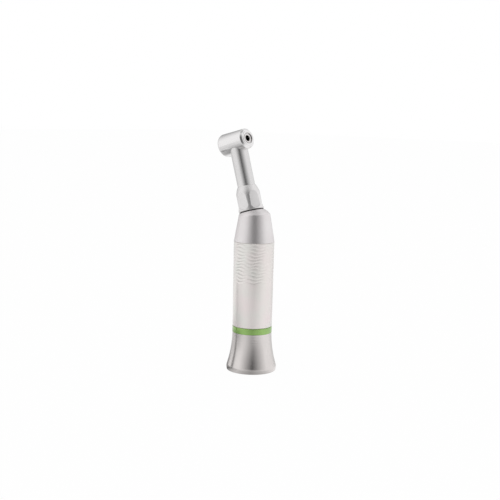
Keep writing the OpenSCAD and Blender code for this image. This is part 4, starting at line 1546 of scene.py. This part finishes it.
@dataclass
class DriveTrain:
    """The gears, shafts and bearings inside, and the two springs."""

    springs: tuple[Spring, ...] = (
        Spring("dog_return_spring", "dog_spring", "dog", "dog_slide", Station.HANDLE,
               mean_d=3.9, wire_d=0.32, span=(24.02, 26.28), turns=4, travel=1.1),
        Spring("button_return_spring", "button_spring", "button", "button_slide", Station.HEAD,
               mean_d=3.0, wire_d=0.22, span=(-6.95, -5.79), turns=3, travel=0.4),
    )

    def build(self, frame: dict) -> None:
        """Winds the springs, and gives each node that still shows its finish.

        Args:
            frame: The loaded frame.
        """
        finishes = {
            "satin_steel": InnerFinish("inner_steel", linear(206, 204, 201), linear(188, 186, 184), 0.32),
            "gear_steel": InnerFinish("gear_steel", linear(176, 175, 176), linear(152, 151, 153), 0.36),
            "bright_steel": InnerFinish("ground_steel", linear(222, 221, 220), linear(206, 205, 204), 0.16),
            "bearing_cage": InnerFinish("cage_resin", linear(120, 90, 54), linear(98, 72, 42), 0.5, 0.0),
            "bush_bronze": InnerFinish("bush_bronze", linear(190, 148, 98), linear(168, 126, 80), 0.34),
        }
        materials = {slot: finish.material() for slot, finish in finishes.items()}
        for spring in self.springs:
            spring.build(materials["bright_steel"])
        for name, node in frame["nodes"].items():
            slot = node.data.materials[0].name
            if node.hide_render or slot not in materials:
                continue
            node.data.materials.clear()
            node.data.materials.append(materials[slot])
            LOG.info("%s: dressed as %s", name, slot)


@dataclass(frozen=True)
class GlossCard:
    """A card of the studio that only gloss can see."""

    name: str

    def light(self, across: Wire, along: Wire) -> Wire:
        """How bright the card is at a place on it, from 0 to 1."""
        raise NotImplementedError

    def dress(self, card: Piece) -> None:
        """Gives the card its light and hides it from all but gloss.

        Args:
            card: The card, in its place.
        """
        made, graph = new_material(self.name)
        across, along, _ = graph.parts()
        glow = graph.node("ShaderNodeEmission", inputs={"Color": self.light(across, along), "Strength": 1.0})
        graph.output("ShaderNodeOutputMaterial", glow)
        card.data.materials.append(made)
        card.visible_camera = False
        card.visible_diffuse = False
        card.visible_shadow = False
        card.visible_transmission = False


@dataclass(frozen=True)
class Flag(GlossCard):
    """An upright dark card on the floor that faces the object, darkest along its middle.

    Attributes:
        turn_deg: Its direction from the object, counted from the camera's.
        away_mm: Its distance from the object.
        spread_deg: Half the angle that it takes up.
        darkest: How bright its middle is.
        full_mm: Height at which the dark starts to fade out.
        top_mm: Height at which the dark is gone.
        foot_share: Share of the dark that is there at its foot.
        rise_mm: Height at which all the dark is there.
        lean: How far the dark middle leans to the right, per height.
    """

    turn_deg: float
    away_mm: float
    spread_deg: float
    darkest: float
    full_mm: float
    top_mm: float
    foot_share: float = 1.0
    rise_mm: float = 1.0
    lean: float = 0.0

    def light(self, across: Wire, along: Wire) -> Wire:
        """How bright the card is at a place across it and at a height, from 0 to 1.

        Args:
            across: The place across it.
            along: The height.

        Returns:
            The brightness.
        """
        turn = abs(across - along * self.lean).angle_over(self.away_mm * MM)
        side = turn.climb(0.0, math.radians(self.spread_deg))
        fade = 1 - along.climb(self.full_mm * MM, self.top_mm * MM)
        rise = along.climb(0.0, self.rise_mm * MM) * (1 - self.foot_share) + self.foot_share
        return 1 - (1 - side) * fade * rise * (1 - self.darkest)

    def build(self) -> None:
        """Stands the card on the floor."""
        Bench.clear()
        bpy.ops.mesh.primitive_plane_add(size=1.0)
        card = Bench.fresh(self.name)
        bpy.ops.object.mode_set(mode="EDIT")
        bpy.ops.transform.translate(value=(0, 0.5, 0))
        bpy.ops.object.mode_set(mode="OBJECT")
        width_mm = 2 * self.away_mm * math.tan(math.radians(self.spread_deg))
        card.scale = (width_mm * MM, self.top_mm * MM, 1.0)
        bpy.ops.object.transform_apply(location=False, rotation=False, scale=True)
        around = math.radians(CAMERA_AZIMUTH_DEG + self.turn_deg)
        card.rotation_euler = (math.pi / 2, 0, around)
        card.location = Vector((math.sin(around), -math.cos(around), 0)) * self.away_mm * MM
        self.dress(card)


@dataclass(frozen=True)
class Lobe:
    """One dark direction of a patch, darkest along its middle.

    Attributes:
        turn_deg: Its direction from the object, counted from the camera's.
        spread_deg: Half the angle that it takes up.
        darkest: How bright its middle is.
        full_mm: Distance at which the dark starts to fade out.
        reach_mm: Distance at which the dark is gone.
    """

    turn_deg: float
    spread_deg: float
    darkest: float
    full_mm: float
    reach_mm: float

    def light(self, across: Wire, away: Wire) -> Wire:
        """How bright it leaves a place to the camera's right and away from the camera, from 0 to 1.

        Args:
            across: How far the place is to the camera's right.
            away: How far it is away from the camera.

        Returns:
            The brightness.
        """
        middle = math.radians(self.turn_deg)
        sideways = across * math.cos(middle) + away * math.sin(middle)
        outwards = across * math.sin(middle) - away * math.cos(middle)
        side = abs(sideways.angle_over(outwards)).climb(0.0, math.radians(self.spread_deg))
        fade = 1 - across.length_with(away).climb(self.full_mm * MM, self.reach_mm * MM)
        return 1 - (1 - side) * fade * (1 - self.darkest)


@dataclass(frozen=True)
class Patch(GlossCard):
    """A level disc round the object, with dark lobes."""

    lift_mm: float
    lobes: tuple[Lobe, ...]

    def light(self, across: Wire, along: Wire) -> Wire:
        """How bright all its lobes together leave a place, from 0 to 1."""
        lights = [lobe.light(across, along) for lobe in self.lobes]
        return math.prod(lights[1:], start=lights[0])

    def build(self) -> None:
        """Lays the disc at its height."""
        Bench.clear()
        reach_mm = max(lobe.reach_mm for lobe in self.lobes)
        bpy.ops.mesh.primitive_circle_add(vertices=Bench.SMALL_ROUND, radius=reach_mm * MM, fill_type="NGON")
        disc = Bench.fresh(self.name)
        disc.rotation_euler = (0, 0, math.radians(CAMERA_AZIMUTH_DEG))
        disc.location = (0, 0, self.lift_mm * MM)
        self.dress(disc)


@dataclass
class Studio:
    """A pale floor, soft light from all sides, and dark cards that shape the gloss."""

    floor_mm: float = 6000.0
    floor_grey: Colour = (0.9, 0.9, 0.9, 1.0)
    floor_white: float = 0.97
    ambient: float = 0.8
    lamp_mm: float = 900.0
    lamp_place_mm: tuple[float, float, float] = (420.0, -480.0, 620.0)
    lamp_w: float = 1.0
    flags: tuple[Flag, ...] = (
        Flag("front_flag", turn_deg=10.0, away_mm=150.0, spread_deg=66.0, darkest=0.05, full_mm=200.0,
             top_mm=480.0, foot_share=0.65, rise_mm=45.0, lean=-0.25),
        Flag("back_flag", turn_deg=-165.0, away_mm=150.0, spread_deg=60.0, darkest=0.4, full_mm=150.0,
             top_mm=420.0, foot_share=0.3, rise_mm=100.0),
        Flag("left_flag", turn_deg=-97.0, away_mm=80.0, spread_deg=12.0, darkest=0.05, full_mm=22.0,
             top_mm=34.0),
        Flag("right_flag", turn_deg=142.0, away_mm=100.0, spread_deg=26.0, darkest=0.7, full_mm=45.0,
             top_mm=65.0),
    )
    patches: tuple[Patch, ...] = (
        Patch("floor_shade", 0.05, (
            Lobe(turn_deg=0.0, spread_deg=60.0, darkest=0.52, full_mm=219.0, reach_mm=220.0),
            Lobe(turn_deg=0.0, spread_deg=80.0, darkest=0.65, full_mm=0.0, reach_mm=40.0),
            Lobe(turn_deg=-84.0, spread_deg=46.0, darkest=0.78, full_mm=300.0, reach_mm=460.0),
            Lobe(turn_deg=-88.0, spread_deg=46.0, darkest=0.2, full_mm=0.0, reach_mm=170.0),
            Lobe(turn_deg=-135.0, spread_deg=60.0, darkest=0.25, full_mm=40.0, reach_mm=100.0),
            Lobe(turn_deg=142.0, spread_deg=40.0, darkest=0.7, full_mm=60.0, reach_mm=120.0),
        )),
        Patch("roof_shade", 500.0, (
            Lobe(turn_deg=0.0, spread_deg=ALL_ROUND_DEG, darkest=0.5, full_mm=110.0, reach_mm=260.0),
        )),
    )

    def floor(self) -> None:
        """Lays the pale floor, which shows as white and keeps the shadow."""
        Bench.clear()
        bpy.ops.mesh.primitive_plane_add(size=self.floor_mm * MM)
        floor = Bench.fresh("studio_floor")
        made, graph = new_material("studio_floor")
        matt = graph.node("ShaderNodeBsdfDiffuse", inputs={"Color": self.floor_grey})
        white = graph.node("ShaderNodeEmission", inputs={"Color": WHITE, "Strength": 1.0})
        graph.output("ShaderNodeOutputMaterial", graph.node("ShaderNodeMixShader", inputs={
            0: self._seen(graph) * self.floor_white, 1: matt, 2: white,
        }))
        floor.data.materials.append(made)

    @staticmethod
    def _seen(graph: Graph) -> Wire:
        """1 for rays that show the background, 0 for rays that only light the object.

        Args:
            graph: The nodes that ask for it.

        Returns:
            The value of each ray.
        """
        hidden = 1.0
        for ray in ("Is Camera Ray", "Is Glossy Ray", "Is Transmission Ray"):
            hidden = (1 - graph.node("ShaderNodeLightPath", out=ray)) * hidden
        return 1 - hidden

    def world(self) -> None:
        """White where it is seen, and soft light where it is not."""
        world = bpy.data.worlds.new("studio")
        bpy.context.scene.world = world
        world.use_nodes = True
        graph = Graph(world.node_tree)
        soft = graph.node("ShaderNodeBackground", inputs={"Color": WHITE, "Strength": self.ambient})
        white = graph.node("ShaderNodeBackground", inputs={"Color": WHITE, "Strength": 1.0})
        graph.output("ShaderNodeOutputWorld", graph.node("ShaderNodeMixShader", inputs={
            0: self._seen(graph), 1: soft, 2: white,
        }))

    def lamp(self) -> None:
        """Hangs a large soft lamp that points at the object."""
        data = bpy.data.lights.new("soft_lamp", "AREA")
        data.size = self.lamp_mm * MM
        data.energy = self.lamp_w
        lamp = bpy.data.objects.new("soft_lamp", data)
        bpy.context.scene.collection.objects.link(lamp)
        lamp.location = Vector(self.lamp_place_mm) * MM
        lamp.rotation_euler = Vector(self.lamp_place_mm).to_track_quat("Z", "Y").to_euler()
        lamp.visible_glossy = False

    def build(self) -> None:
        """Sets up the whole studio."""
        self.floor()
        self.world()
        self.lamp()
        for card in (*self.flags, *self.patches):
            card.build()


@dataclass(frozen=True)
class PhotoCamera:
    """The camera at the photograph's viewing angle."""

    distance_mm: float = 407.05
    height_mm: float = 104.508
    pan_deg: float = -0.2199
    pitch_deg: float = 7.8648
    roll_deg: float = 1.3528
    focal_px: float = 1037.45
    frame_px: float = 500.0
    sensor_mm: float = 36.0
    clip_m: Span = (0.01, 20.0)

    def build(self) -> None:
        """Makes the camera and hands it to the scene."""
        data = bpy.data.cameras.new("photo_camera")
        data.sensor_width = self.sensor_mm
        data.lens = self.sensor_mm * self.focal_px / self.frame_px
        data.clip_start, data.clip_end = self.clip_m
        camera = bpy.data.objects.new("photo_camera", data)
        bpy.context.scene.collection.objects.link(camera)
        around = math.radians(CAMERA_AZIMUTH_DEG)
        place = Vector((math.sin(around), -math.cos(around), 0.0)) * self.distance_mm
        place.z = self.height_mm
        aim = Euler((math.radians(90 - self.pitch_deg), 0.0, around - math.radians(self.pan_deg)))
        roll = Matrix.Rotation(math.radians(self.roll_deg), 4, "Z")
        camera.matrix_world = Matrix.Translation(place * MM) @ aim.to_matrix().to_4x4() @ roll
        bpy.context.scene.camera = camera


def main() -> None:
    """Builds every sub-assembly and the studio."""
    logging.basicConfig(level=logging.INFO, format="%(name)s: %(message)s")
    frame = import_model()
    bpy.context.scene.view_settings.view_transform = "Standard"
    warm, grey = linear(224, 219, 217), linear(214, 209, 207)
    pale, cool = linear(232, 230, 230), linear(223, 221, 221)
    blush, bright = linear(224, 218, 219), linear(237, 236, 236)
    plain = linear(215, 214, 214)
    Handle().build(
        TurnedSteel("skirt_steel", warm, grey, 0.22, Station.HANDLE),
        TurnedSteel("socket_steel", warm, grey, 0.3, Station.HANDLE),
    )
    FrontEnd().build(
        TurnedSteel("cone_steel", pale, blush, 0.4, Station.HANDLE),
        TurnedSteel("collar_steel", pale, cool, 0.37, Station.NECK),
        TurnedSteel("neck_steel", cool, plain, 0.25, Station.NECK),
    )
    Head().build(
        TurnedSteel("head_steel", bright, pale, 0.17, Station.HEAD),
        TurnedSteel("cap_steel", pale, cool, 0.17, Station.HEAD),
        TurnedSteel("spindle_steel", pale, grey, 0.16, Station.HEAD),
    )
    DriveTrain().build(frame)
    Studio().build()
    PhotoCamera().build()


if __name__ == "__main__":
    main()
